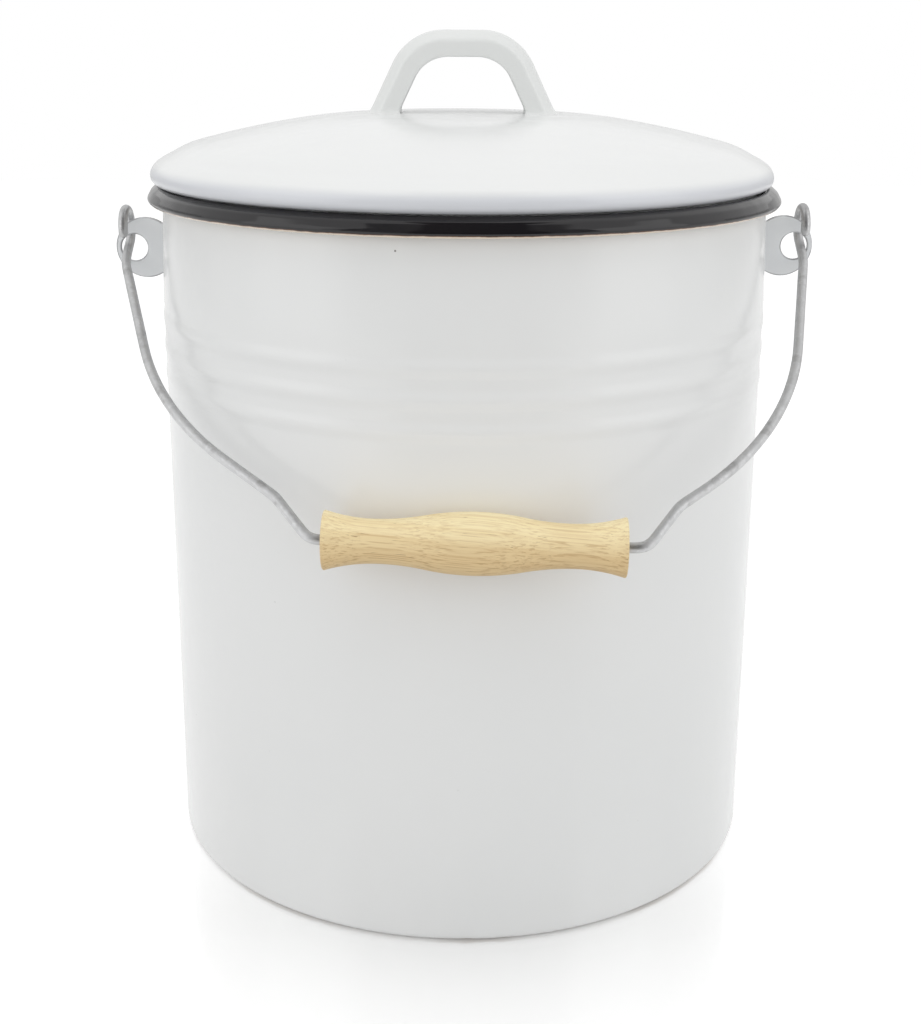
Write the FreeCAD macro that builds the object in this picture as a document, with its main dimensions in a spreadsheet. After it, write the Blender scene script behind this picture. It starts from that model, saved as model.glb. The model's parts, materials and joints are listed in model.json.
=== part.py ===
import FreeCAD, Part
import math
import os
import re

import Sketcher

# Lidded enamel pail with a wire bail. Millimetres and degrees. +Z is up and the pail stands on z = 0.
# The bail hangs down in front, on the -Y side, and its grip rests against the wall.

SIZES = {
    # sheet metal and clearances
    "sheet": 1.0,                 # enamelled sheet, metal and glaze together
    "seat_gap": 0.3,              # between pieces that rest on each other and can be parted
    "weld_gap": 0.05,             # between pieces that are welded and enamelled over
    # pail
    "pail_height": 291.7,         # floor to the top of the rolled rim
    "base_radius": 131.9,         # outside of the wall just above its foot
    "wall_taper": 2.0,            # wall comes in by this from its foot up to its neck
    "neck_taper": 1.7,            # and by this over its neck, up to the rim
    "neck_drop": 43.7,            # rim top down to the start of the neck
    "base_corner": 2.5,           # bend from the wall into the foot
    "foot_width": 10.0,           # foot turned in under the pail
    "bead_radius": 3.7,           # rolled rim, outside of its section
    "curl_gap": 0.1,              # edge of the roll to the wall
    "rib_count": 3,
    "rib_drop": 54.7,             # rim top down to the crest of the highest rib
    "rib_pitch": 12.0,
    "rib_width": 6.4,
    "rib_height": 0.4,
    "bottom_rise": 6.0,           # underside of the raised middle of the bottom
    "bottom_ramp": 8.0,           # width of the slope round the raised middle
    # ears
    "ear_drop": 28.2,             # rim top down to the middle of the ear
    "ear_skew": 1.2,              # right ear above this height, left ear below it
    "ear_radius": 13.1,
    "ear_reach": 9.65,            # middle of the ear outwards from the wall
    "ear_thickness": 1.5,
    "ear_hole_radius": 5.7,
    "ear_hole_shift": 5.1,        # hole outwards from the middle of the ear
    "ear_foot_height": 18.0,      # foot of the ear, welded to the wall behind the plate
    "ear_foot_angle": 7.0,
    # bail wire
    "wire_radius": 2.0,
    "hook_side": 77.7,            # where the wire lies in the hole: 0 at its bottom, 90 at its outer side
    "hook_clear": 4.0,            # ring of the hook over the top of the ear
    "hole_clear": 0.3,            # wire to the edge of the hole, at rest
    "hook_turn": 260.0,
    "wrist_drop": 13.9,           # foot of the ring down to the bend above the arm
    "wrist_radius": 30.0,
    "bow_radius": 133.6,
    "kink_radius": 14.0,
    "elbow_radius": 7.0,
    "left_splay": 16.1,           # arm to the vertical, as the bail hangs straight down
    "left_shoulder_slope": 48.3,
    "left_leg_slope": 34.0,
    "left_leg_rise": 21.0,        # elbow up to the kink
    "left_elbow_clear": 1.7,      # straight wire between the grip's end and the elbow
    "right_splay": 10.6,
    "right_shoulder_slope": 51.4,
    "right_leg_slope": 34.0,
    "right_leg_rise": 20.2,
    "right_elbow_clear": 3.6,
    "bail_slack": 28.7,           # reach of the bail beyond what lies between its pivots and the wall
    # grip
    "grip_length": 111.0,
    "grip_end_radius": 11.3,
    "grip_waist_radius": 8.25,
    "grip_belly_radius": 11.75,
    "grip_waist_inset": 19.2,
    "grip_edge": 0.6,             # chamfer of the end faces
    "grip_shift": 3.7,            # middle of the grip to one side of the bail
    "grip_droop": 2.05,           # right end of the grip hangs lower
    "bore_gap": 0.25,             # bore to wire, on the radius
    # lid
    "lid_inset": 2.7,             # edge of the lid inside the outside of the rim
    "lid_shift": -1.0,            # the lid sits a little to one side in its loose seat
    "lip_height": 10.8,
    "lip_round": 7.5,
    "lip_hem": 1.8,               # flat of the edge turned in under the lip
    "step_width": 5.0,            # step between the lip and the dome
    "step_height": 3.8,
    "dome_rise": 16.3,
    "collar_gap": 1.6,            # collar inside the mouth, on the radius
    "collar_depth": 8.0,          # collar below the underside of the lip
    "collar_weld": 0.5,           # top of the collar to the underside of the lid
    # lid handle
    "handle_height": 30.8,        # top of the handle above the top of the dome
    "handle_bar": 10.8,           # thickness of the top bar
    "handle_depth": 20.0,
    "handle_shoulder": 23.0,      # outer corner of the arch from its middle
    "handle_inset": 7.0,          # inner corner of the arch nearer to the middle than the outer one
    "handle_splay": 26.0,         # outside of a leg to the vertical
    "handle_inner_splay": 26.0,
    "handle_bend": 24.0,
    "handle_inner_bend": 16.0,
    "handle_crown": 4.5,          # rounding of the long outer edges
    "handle_wall": 1.5,           # wall of the hollow handle
}

document = FreeCAD.newDocument("enamel_pail")
sheet = document.addObject("Spreadsheet::Sheet", "sizes")
for row, (alias, number) in enumerate(SIZES.items(), 1):
    sheet.set(f"A{row}", alias)
    sheet.set(f"B{row}", str(number))
    sheet.setAlias(f"B{row}", alias)
document.recompute()


def bound(text):
    """An expression in the sheet's names, with the sheet's own name put before each."""
    return re.sub(r"[a-z_]+", lambda word: "sizes." + word[0] if word[0] in SIZES else word[0], text)


def value(text):
    """The number that such an expression has now."""
    return float(sheet.evalExpression(bound(text)))


# Places that several pieces share, each as an expression in the sheet's names.
WALL_TOP = "(pail_height - bead_radius)"
NECK_START = "(pail_height - neck_drop)"
SHOULDER = "(base_radius - wall_taper)"
MOUTH = f"({SHOULDER} - neck_taper)"
INNER_MOUTH = f"({MOUTH} - sheet)"
BEAD_CENTRE = f"({INNER_MOUTH} + bead_radius)"
EAR_HEIGHT = "(pail_height - ear_drop)"
LID_RADIUS = f"({INNER_MOUTH} + 2 * bead_radius - lid_inset)"
LIP_CENTRE = f"({LID_RADIUS} - lip_round)"
LIP_BAND = "(lip_height - lip_round)"
LIP_TOP = "(collar_depth + lip_height)"
DOME_RADIUS = f"({LIP_CENTRE} - step_width)"
DOME_BALL = f"(({DOME_RADIUS}^2 + dome_rise^2) / (2 * dome_rise))"
LID_TOP = f"({LIP_TOP} + step_height + dome_rise)"


def wall_at(height):
    """Outside of the straight wall, between its foot and its neck, at a height."""
    share = f"({height} - base_corner) / ({NECK_START} - base_corner)"
    return f"(base_radius - wall_taper * {share})"


def neck_at(height):
    """Outside of the neck at a height."""
    share = f"({height} - {NECK_START}) / ({WALL_TOP} - {NECK_START})"
    return f"({SHOULDER} - neck_taper * {share})"


EAR_CENTRE = f"({neck_at(EAR_HEIGHT)} + ear_reach)"
EAR_HOLE = f"({EAR_CENTRE} + ear_hole_shift)"


# ------------------------------------------------ sketches and features

def new_body(label):
    body = document.addObject("PartDesign::Body", label)
    body.Label = label
    return body


def new_sketch(body, name, plane="XZ_Plane"):
    sketch = body.newObject("Sketcher::SketchObject", name)
    support = next(feature for feature in body.Origin.OriginFeatures if feature.Role == plane)
    sketch.AttachmentSupport = (support, [""])
    sketch.MapMode = "FlatFace"
    return sketch


def bind(sketch, kind, point, text):
    """Hold one coordinate of a point of the sketch at an expression, or on the sketch's axis."""
    if text == "0":
        axis = -2 if kind == "DistanceX" else -1
        sketch.addConstraint(Sketcher.Constraint("PointOnObject", point[0], point[1], axis))
        return
    index = sketch.addConstraint(Sketcher.Constraint(kind, -1, 1, point[0], point[1], value(text)))
    sketch.setExpression(f"Constraints[{index}]", bound(text))


def arc_between(start, end, radius, side):
    """Arc from start to end, with its centre to the left (side 1) or right (side -1) of the way."""
    chord = end - start
    across = FreeCAD.Vector(-chord.y, chord.x, 0).normalize()
    depth = math.sqrt(max(radius ** 2 - (chord.Length / 2) ** 2, 0.0))
    centre = (start + end) / 2 + across * side * depth
    first, last = (start, end) if side > 0 else (end, start)
    circle = Part.Circle(centre, FreeCAD.Vector(0, 0, 1), radius)
    angles = [math.atan2(corner.y - centre.y, corner.x - centre.x) for corner in (first, last)]
    return Part.ArcOfCircle(circle, angles[0], angles[1])


def outline(body, name, corners):
    """Closed outline in the XZ plane. A corner is (across, up), and the edge that leaves it is straight,
    or (across, up, radius, side) and that edge is an arc. Every coordinate and radius is an expression."""
    sketch = new_sketch(body, name)
    places = [FreeCAD.Vector(value(corner[0]), value(corner[1]), 0) for corner in corners]
    starts, ends = [], []
    for index, corner in enumerate(corners):
        start, end = places[index], places[(index + 1) % len(corners)]
        if len(corner) == 2:
            edge = sketch.addGeometry(Part.LineSegment(start, end), False)
            starts.append((edge, 1))
            ends.append((edge, 2))
            continue
        radius, side = corner[2:]
        edge = sketch.addGeometry(arc_between(start, end, value(radius), side), False)
        starts.append((edge, 1 if side > 0 else 2))
        ends.append((edge, 2 if side > 0 else 1))
        held = sketch.addConstraint(Sketcher.Constraint("Radius", edge, value(radius)))
        sketch.setExpression(f"Constraints[{held}]", bound(radius))
    for index, corner in enumerate(corners):
        sketch.addConstraint(Sketcher.Constraint("Coincident", *ends[index - 1], *starts[index]))
        bind(sketch, "DistanceX", starts[index], corner[0])
        bind(sketch, "DistanceY", starts[index], corner[1])
    return sketch


def disc(body, name, across, up, radius):
    """Circle in the XZ plane, its centre and radius given as expressions."""
    sketch = new_sketch(body, name)
    centre = FreeCAD.Vector(value(across), value(up), 0)
    edge = sketch.addGeometry(Part.Circle(centre, FreeCAD.Vector(0, 0, 1), value(radius)), False)
    held = sketch.addConstraint(Sketcher.Constraint("Radius", edge, value(radius)))
    sketch.setExpression(f"Constraints[{held}]", bound(radius))
    bind(sketch, "DistanceX", (edge, 3), across)
    bind(sketch, "DistanceY", (edge, 3), up)
    return sketch


def turned(body, sketch, kind="PartDesign::Revolution", axis="V_Axis", angle="360", flip=False):
    """The sketch turned about one of its own axes, as metal added or, for a Groove, cut away."""
    feature = body.newObject(kind, sketch.Name + "_turned")
    feature.Profile = sketch
    feature.ReferenceAxis = (sketch, [axis])
    feature.setExpression("Angle", bound(angle))
    feature.Reversed = flip
    sketch.Visibility = False
    document.recompute()
    return feature


def padded(body, sketch, length, kind="PartDesign::Pad"):
    """The sketch made solid, or cut away, to both sides of its plane."""
    feature = body.newObject(kind, sketch.Name + "_solid")
    feature.Profile = sketch
    feature.Midplane = True
    feature.setExpression("Length", bound(length))
    sketch.Visibility = False
    document.recompute()
    return feature


def picked(feature, test):
    """Names of the feature's edges that pass a test."""
    edges = enumerate(feature.Shape.Edges, 1)
    return [f"Edge{number}" for number, edge in edges if test(edge)]


def rounded(body, base, test, radius, kind="PartDesign::Fillet", size="Radius"):
    """Edges of the base feature that pass the test, rounded or chamfered."""
    feature = body.newObject(kind, f"{base.Name}_{size.lower()}")
    feature.Base = (base, picked(base, test))
    feature.setExpression(size, bound(radius))
    document.recompute()
    return feature


def place(thing, base, rotation=FreeCAD.Rotation()):
    thing.Placement = FreeCAD.Placement(FreeCAD.Vector(*base), rotation)


# ------------------------------------------------ how the bail hangs

SETTLING_ROUNDS = 60


def hanging():
    """Pivot height, ring radius, lean and reach of the bail, as it rests against the wall.

    The wire passes the ear's hole at a slant, to the outer side of its middle and a clearance from its
    edge. The slant depends on the lean, which depends on the pivot, so they are settled by going round.
    The shift is how far outwards from the middle of the hole the ring stands, and the sag is how far its
    lowest point lies below that middle."""
    wire, side = value("wire_radius"), math.radians(value("hook_side"))
    taper = value(f"wall_taper / ({NECK_START} - base_corner)")
    stand_off = value("grip_belly_radius + seat_gap")
    grip_line = value("base_radius + grip_belly_radius + bail_slack")
    sag, shift = 0.0, value("ear_hole_radius / 2")
    for _ in range(SETTLING_ROUNDS):
        rim_of_ear = math.sqrt(value("ear_radius") ** 2 - (value("ear_hole_shift") + shift) ** 2)
        ring = (rim_of_ear + wire + value("hook_clear") + sag) / 2
        pivot = value(EAR_HEIGHT) + ring - sag
        slant = math.hypot(1, taper)
        reach_out = value(f"base_radius + base_corner * {taper}") - taper * pivot + stand_off * slant
        swing = math.atan(taper) + math.asin(reach_out / (grip_line * slant))
        lean = swing + math.asin(ring / grip_line)
        room = value("ear_hole_radius - hole_clear") - wire / math.sin(lean)
        shift = room * math.sin(side)
        sag = room * math.cos(side) - ring * (1 / math.sin(lean) - 1)
    reach = math.sqrt(grip_line ** 2 - ring ** 2)
    return {"pivot": pivot, "ring": ring, "shift": shift, "lean": lean, "reach": reach,
            "swing": swing, "line": grip_line}


HANG = hanging()


def centre_line_y():
    """Y of the pail's own axis, with the origin under the middle of the whole object's box."""
    back = value(f"{BEAD_CENTRE} + bead_radius")
    front = HANG["line"] * math.sin(HANG["swing"]) + value("grip_belly_radius")
    return (front - back) / 2


AXIS_Y = centre_line_y()
HINGE_TILT = math.asin(value(f"ear_skew / {EAR_HOLE}"))


# ------------------------------------------------ pail

ROLL_JOIN = 30                    # degrees below the middle of the roll, where two of its arcs join


def rib_heights():
    return [f"(pail_height - rib_drop - {index} * rib_pitch)" for index in range(int(value("rib_count")))]


def pail_wall():
    """Tapered wall with swaged ribs, a neck under the rim and a foot turned in under the pail."""
    outer_arc = "((rib_width / 2)^2 + rib_height^2) / (2 * rib_height)"
    inner_half = "sqrt((rib_width / 2)^2 - 2 * sheet * rib_height)"
    corners = [
        ("base_radius - foot_width", "0"),
        ("base_radius - base_corner", "0", "base_corner", 1),
        ("base_radius", "base_corner"),
    ]
    for crest in reversed(rib_heights()):
        low, high = f"({crest} - rib_width / 2)", f"({crest} + rib_width / 2)"
        corners.append((wall_at(low), low, outer_arc, 1))
        corners.append((wall_at(high), high))
    corners += [
        (SHOULDER, NECK_START),
        (MOUTH, WALL_TOP),
        (INNER_MOUTH, WALL_TOP),
        (f"{SHOULDER} - sheet", NECK_START),
    ]
    for crest in rib_heights():
        low, high = f"({crest} - {inner_half})", f"({crest} + {inner_half})"
        corners.append((wall_at(high) + " - sheet", high, f"{outer_arc} - sheet", -1))
        corners.append((wall_at(low) + " - sheet", low))
    corners += [
        ("base_radius - sheet", "base_corner", "base_corner - sheet", -1),
        ("base_radius - base_corner", "sheet"),
        ("base_radius - foot_width", "sheet"),
    ]
    body = new_body("pail_wall")
    turned(body, outline(body, "wall_section", corners))
    place(body, (0, AXIS_Y, 0))


def pail_bottom():
    """Pressed bottom that lies on the foot and rises in the middle."""
    inner, edge = "base_radius - foot_width", "base_radius - base_corner - weld_gap"
    flat = f"{inner} - bottom_ramp"
    corners = [
        ("0", "bottom_rise"), (flat, "bottom_rise"), (inner, "sheet"), (edge, "sheet"),
        (edge, "2 * sheet"), (inner, "2 * sheet"), (flat, "bottom_rise + sheet"),
        ("0", "bottom_rise + sheet"),
    ]
    body = new_body("pail_bottom")
    turned(body, outline(body, "bottom_section", corners))
    place(body, (0, AXIS_Y, 0))


def rim_bead():
    """Rolled rim: the sheet goes on from the wall, over the top, and curls back to the wall outside."""
    inside = "(bead_radius - sheet)"
    end_across = "(bead_radius - sheet - curl_gap)"
    end_down = f"sqrt(bead_radius^2 - {end_across}^2)"
    share = f"({inside} / bead_radius)"
    low_across, low_down = f"cos({ROLL_JOIN})", f"sin({ROLL_JOIN})"

    def ring(radius, side):
        top = (BEAD_CENTRE, f"{WALL_TOP} + {radius}")
        low = (f"{BEAD_CENTRE} + {radius} * {low_across}", f"{WALL_TOP} - {radius} * {low_down}")
        return top, low

    top, low = ring("bead_radius", -1)
    inner_top, inner_low = ring(inside, 1)
    corners = [
        (INNER_MOUTH, WALL_TOP, "bead_radius", -1),
        (*top, "bead_radius", -1),
        (*low, "bead_radius", -1),
        (f"{BEAD_CENTRE} - {end_across}", f"{WALL_TOP} - {end_down}"),
        (f"{BEAD_CENTRE} - {end_across} * {share}", f"{WALL_TOP} - {end_down} * {share}", inside, 1),
        (*inner_low, inside, 1),
        (*inner_top, inside, 1),
        (MOUTH, WALL_TOP),
    ]
    body = new_body("rim_bead")
    turned(body, outline(body, "bead_section", corners))
    place(body, (0, AXIS_Y, 0))


# ------------------------------------------------ ears

def ears():
    for label, side in (("ear_left", -1), ("ear_right", 1)):
        ear(label, side)


def ear(label, side):
    """Round pierced plate that stands out from the wall, with a foot bent back along the wall."""
    height, seat = f"({EAR_HEIGHT} + {side} * ear_skew)", "weld_gap"
    body = new_body(label)
    plate = disc(body, f"{label}_plate", f"{side} * {EAR_CENTRE}", height, "ear_radius")
    padded(body, plate, "ear_thickness")
    low, high = f"({height} - ear_foot_height / 2)", f"({height} + ear_foot_height / 2)"
    foot = outline(body, f"{label}_foot", [
        (f"{side} * ({neck_at(low)} + {seat})", low),
        (f"{side} * ({neck_at(low)} + {seat} + ear_thickness)", low),
        (f"{side} * ({neck_at(high)} + {seat} + ear_thickness)", high),
        (f"{side} * ({neck_at(high)} + {seat})", high),
    ])
    turned(body, foot, angle="ear_foot_angle", flip=side < 0)
    hole = disc(body, f"{label}_hole", f"{side} * {EAR_HOLE}", height, "ear_hole_radius")
    padded(body, hole, "4 * ear_thickness", "PartDesign::Pocket")
    under, over = f"({height} - 2 * ear_radius)", WALL_TOP
    wall = outline(body, f"{label}_trim", [
        ("0", under), (f"{side} * ({neck_at(under)} + {seat})", under),
        (f"{side} * ({neck_at(over)} + {seat})", over), ("0", over),
    ])
    turned(body, wall, "PartDesign::Groove")
    place(body, (0, AXIS_Y, 0))


# ------------------------------------------------ bail, hung straight down from its pivot

ARC_SHARE = 0.8                   # of the shorter run beside a bend, that the bend may take


def crossing(start, way, other, other_way):
    """Where two lines in the bail's plane cross, each given by a point and a direction."""
    cross = way.x * other_way.z - way.z * other_way.x
    apart = other - start
    return start + way * ((apart.x * other_way.z - apart.z * other_way.x) / cross)


def bow_side(name, side):
    """Corners of one side of the bail, from the grip out to the hook, in the plane y = ring.

    The bail was bent by hand, so its two sides differ."""
    angles = (value(f"{name}_{angle}") for angle in ("splay", "shoulder_slope", "leg_slope"))
    splay, shoulder, leg = (math.radians(angle) for angle in angles)
    droop = math.radians(value("grip_droop"))
    along = FreeCAD.Vector(math.cos(droop), 0, -math.sin(droop)) * side
    leg_way = FreeCAD.Vector(side * math.sin(leg), 0, math.cos(leg))
    shoulder_way = FreeCAD.Vector(side * math.sin(shoulder), 0, math.cos(shoulder))
    arm_way = FreeCAD.Vector(-side * math.sin(splay), 0, -math.cos(splay))
    middle = FreeCAD.Vector(value("grip_shift"), HANG["ring"], -HANG["reach"])
    cut = value("elbow_radius") * math.tan(along.getAngle(leg_way) / 2)
    elbow = middle + along * (value(f"grip_length / 2 + {name}_elbow_clear") + cut)
    kink = elbow + leg_way * (value(f"{name}_leg_rise") / math.cos(leg))
    hook = FreeCAD.Vector(side * (value(EAR_HOLE) + HANG["shift"]), HANG["ring"], 0)
    wrist = hook - FreeCAD.Vector(0, 0, value("wrist_drop"))
    return [elbow, kink, crossing(wrist, arm_way, kink, shoulder_way), wrist, hook]


def bent(corners, radii):
    """Straight runs through the corners, joined by tangent arcs, each limited by the runs beside it."""
    edges, last = [], corners[0]
    for before, corner, after, radius in zip(corners, corners[1:], corners[2:], radii):
        back, on = before - corner, after - corner
        half = (math.pi - back.getAngle(on)) / 2
        spare = ARC_SHARE * min(back.Length, on.Length)
        cut = min(radius * math.tan(half), spare)
        into, out = corner + back.normalize() * cut, corner + on.normalize() * cut
        inward = (into + out) / 2 - corner
        turn_radius = cut / math.tan(half)
        top = turn_radius / math.cos(half) - turn_radius
        middle = corner + inward.normalize() * top
        edges.append(Part.LineSegment(last, into).toShape())
        edges.append(Part.Arc(into, middle, out).toShape())
        last = out
    edges.append(Part.LineSegment(last, corners[-1]).toShape())
    return edges


def hook_arc(foot):
    """Open ring about the hinge that the wire is turned into at its end, and the ring's open end."""
    ring, turn = HANG["ring"], math.radians(value("hook_turn"))
    centre = foot - FreeCAD.Vector(0, ring, 0)

    def at(angle):
        return centre + FreeCAD.Vector(0, math.cos(angle), math.sin(angle)) * ring

    return Part.Arc(at(turn), at(turn / 2), foot).toShape(), at(turn)


def bail_wire():
    """One round wire: hook, arm, bow, straight run through the grip, bow, arm, hook."""
    corners = bow_side("left", -1)[::-1] + bow_side("right", 1)
    names = ["wrist_radius", "bow_radius", "kink_radius", "elbow_radius"]
    radii = [value(name) for name in names + names[::-1]]
    left_hook, left_end = hook_arc(corners[0])
    right_hook, _ = hook_arc(corners[-1])
    path = document.addObject("Part::Feature", "bail_path")
    path.Shape = Part.Wire([left_hook, *bent(corners, radii), right_hook])
    start = left_hook.tangentAt(left_hook.FirstParameter)
    section = document.addObject("Part::Circle", "bail_section")
    section.setExpression("Radius", bound("wire_radius"))
    section.Placement = FreeCAD.Placement(left_end, FreeCAD.Rotation(FreeCAD.Vector(0, 0, 1), start))
    sweep = document.addObject("Part::Sweep", "bail_wire")
    sweep.Label = "bail_wire"
    sweep.Sections = [section]
    sweep.Spine = (path, [])
    sweep.Solid = True
    sweep.Frenet = False
    document.recompute()
    length = path.Shape.Length
    print(f"bail wire {length:.1f} mm long, volume {sweep.Shape.Volume:.0f},"
          f" section times length {math.pi * value('wire_radius') ** 2 * length:.0f}")
    place(sweep, (0, AXIS_Y, HANG["pivot"]), hang_rotation())


def hang_rotation():
    """Leaned forwards against the wall, then turned with the hinge, whose right end is the higher one."""
    lean = FreeCAD.Rotation(FreeCAD.Vector(1, 0, 0), -math.degrees(HANG["lean"]))
    return FreeCAD.Rotation(FreeCAD.Vector(0, 1, 0), -math.degrees(HINGE_TILT)).multiply(lean)


def bail_grip():
    """Turned grip, bored for the wire: flared ends, two waists and a belly."""
    long, waist = "(grip_length / 2 - grip_waist_inset)", "grip_waist_radius"
    swell = "(grip_belly_radius - grip_waist_radius)"
    flare = "(grip_end_radius - grip_waist_radius)"
    flare_arc = f"(grip_waist_inset^2 + {flare}^2) / (2 * {flare})"
    belly_arc = f"({long}^2 + {swell}^2) / (4 * {swell})"
    bore, turn_up = "wire_radius + bore_gap", f"{waist} + {swell} / 2"
    corners = [
        ("0", bore), ("grip_length", bore),
        ("grip_length", "grip_end_radius", flare_arc, -1),
        ("grip_length - grip_waist_inset", waist, belly_arc, -1),
        (f"grip_length / 2 + {long} / 2", turn_up, belly_arc, 1),
        (f"grip_length / 2 - {long} / 2", turn_up, belly_arc, -1),
        ("grip_waist_inset", waist, flare_arc, -1),
        ("0", "grip_end_radius"),
    ]
    body = new_body("bail_grip")
    turning = turned(body, outline(body, "grip_section", corners), axis="H_Axis")
    ends = value("grip_end_radius")
    rounded(body, turning, lambda edge: is_circle(edge, ends), "grip_edge", "PartDesign::Chamfer", "Size")
    droop = FreeCAD.Rotation(FreeCAD.Vector(0, 1, 0), value("grip_droop"))
    hang = FreeCAD.Placement(FreeCAD.Vector(0, AXIS_Y, HANG["pivot"]), hang_rotation())
    middle = FreeCAD.Vector(value("grip_shift"), HANG["ring"], -HANG["reach"])
    start = FreeCAD.Placement(middle - droop.multVec(FreeCAD.Vector(value("grip_length / 2"), 0, 0)), droop)
    body.Placement = hang.multiply(start)
    centre = hang.multVec(middle)
    way = hang.Rotation.multVec(droop.multVec(FreeCAD.Vector(1, 0, 0)))
    print("grip axis through", [round(part, 3) for part in centre], "along", [round(part, 5) for part in way])


def is_circle(edge, radius):
    return isinstance(edge.Curve, Part.Circle) and abs(edge.Curve.Radius - radius) < 1e-4


# ------------------------------------------------ lid, upwards from the lower edge of its collar

def place_on_pail(thing):
    place(thing, (value("lid_shift"), AXIS_Y, value("pail_height + seat_gap - collar_depth")))


def lid_shell():
    """Domed lid with a step, a rounded lip and its edge turned in under the lip."""
    hem_end = f"{LID_RADIUS} - {LIP_BAND} - lip_hem"
    lip_turn, inner_turn = f"collar_depth + {LIP_BAND}", f"{LIP_BAND} - sheet"
    dome_foot = f"{LIP_TOP} + step_height"
    corners = [
        (hem_end, "collar_depth"),
        (f"{LID_RADIUS} - {LIP_BAND}", "collar_depth", LIP_BAND, 1),
        (LID_RADIUS, lip_turn, "lip_round", 1),
        (LIP_CENTRE, LIP_TOP),
        (DOME_RADIUS, dome_foot, DOME_BALL, 1),
        ("0", LID_TOP),
        ("0", f"{LID_TOP} - sheet", DOME_BALL, -1),
        (DOME_RADIUS, f"{dome_foot} - sheet"),
        (LIP_CENTRE, f"{LIP_TOP} - sheet", "lip_round - sheet", -1),
        (f"{LID_RADIUS} - sheet", lip_turn, inner_turn, -1),
        (f"{LID_RADIUS} - {LIP_BAND}", "collar_depth + sheet"),
        (hem_end, "collar_depth + sheet"),
    ]
    body = new_body("lid_shell")
    turned(body, outline(body, "lid_section", corners))
    place_on_pail(body)


def lid_collar():
    """Ring welded up under the lip, which keeps the lid in the mouth."""
    outer, top = f"({INNER_MOUTH} - collar_gap)", f"{LIP_TOP} - sheet - collar_weld"
    corners = [(f"{outer} - sheet", "0"), (outer, "0"), (outer, top), (f"{outer} - sheet", top)]
    body = new_body("lid_collar")
    turned(body, outline(body, "collar_section", corners))
    place_on_pail(body)


def lid_handle():
    """Arched handle, hollow from below, its feet cut to the dome."""
    top, under = f"({LID_TOP} + handle_height)", f"({LID_TOP} + handle_height - handle_bar)"
    low = f"({LID_TOP} - dome_rise)"
    inner = "(handle_shoulder - handle_inset)"
    foot = f"(handle_shoulder + ({top} - {low}) * tan(handle_splay))"
    inner_foot = f"({inner} + ({under} - {low}) * tan(handle_inner_splay))"
    corners = [
        (f"-{foot}", low), (f"-{inner_foot}", low), (f"-{inner}", under), (inner, under),
        (inner_foot, low), (foot, low), ("handle_shoulder", top), ("-handle_shoulder", top),
    ]
    body = new_body("lid_handle")
    arch = padded(body, outline(body, "handle_arch", corners), "handle_depth")
    bends = [("handle_shoulder", top, "handle_bend"), (inner, under, "handle_inner_bend")]
    for across, up, radius in bends:
        place_of_bend = (value(across), value(up))
        arch = rounded(body, arch, lambda edge: runs_across(edge, *place_of_bend), radius)
    middle = FreeCAD.Vector(0, 0, value(low))
    outside = [face for face in arch.Shape.Faces if spans(face) and faces_away(face, middle) > 0.1]
    crown = [edge for face in outside for edge in face.Edges if edge.BoundBox.YLength < 1e-3]
    arch = rounded(body, arch, lambda edge: any(edge.isSame(other) for other in crown), "handle_crown")
    hollow = body.newObject("PartDesign::Thickness", "handle_hollow")
    inside = [f"Face{number}" for number, face in enumerate(arch.Shape.Faces, 1)
              if spans(face) and faces_away(face, middle) < 0.1]
    hollow.Base = (arch, inside)
    hollow.setExpression("Value", bound("handle_wall"))
    hollow.Reversed = True
    document.recompute()
    reach = f"({foot} + handle_depth)"
    ball = f"({DOME_BALL} + weld_gap)"
    dome_edge = f"{LID_TOP} + weld_gap - {ball} + sqrt({ball}^2 - {reach}^2)"
    dome = outline(body, "handle_feet", [
        ("0", "0"), (reach, "0"), (reach, dome_edge, ball, 1), ("0", f"{LID_TOP} + weld_gap"),
    ])
    turned(body, dome, "PartDesign::Groove")
    place_on_pail(body)


def runs_across(edge, across, up):
    """Straight edge along Y, at a distance to either side of the middle and at a height."""
    box = edge.BoundBox
    if box.XLength + box.ZLength > 1e-3:
        return False
    return abs(abs(box.Center.x) - across) < 1e-3 and abs(box.Center.z - up) < 1e-3


def face_normal(face):
    first, last, low, high = face.ParameterRange
    return face.normalAt((first + last) / 2, (low + high) / 2)


def spans(face):
    """Whether a face of the arch runs from its front side to its back side."""
    return abs(face_normal(face).y) < 0.2


def faces_away(face, middle):
    """How far a face looks away from a point under the arch: above 0 outside, below 0 inside."""
    outward = face.CenterOfMass - middle
    return face_normal(face).dot(FreeCAD.Vector(outward.x, 0, outward.z).normalize())


def checked(thing):
    """Stop if a feature failed, or the shape is empty or not valid."""
    bad = [item.Name for item in document.Objects if {"Invalid", "Error"} & set(item.State)]
    if bad or thing.Shape.isNull() or not thing.Shape.isValid() or not thing.Shape.Solids:
        raise RuntimeError(f"{thing.Label}: failed {bad}")
    return thing


NODES = [
    "pail_wall", "pail_bottom", "rim_bead", "ear_left", "ear_right",
    "bail_wire", "bail_grip", "lid_shell", "lid_collar", "lid_handle",
]

BUILDERS = (pail_wall, pail_bottom, rim_bead, ears, bail_wire, bail_grip, lid_shell, lid_collar, lid_handle)

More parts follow.
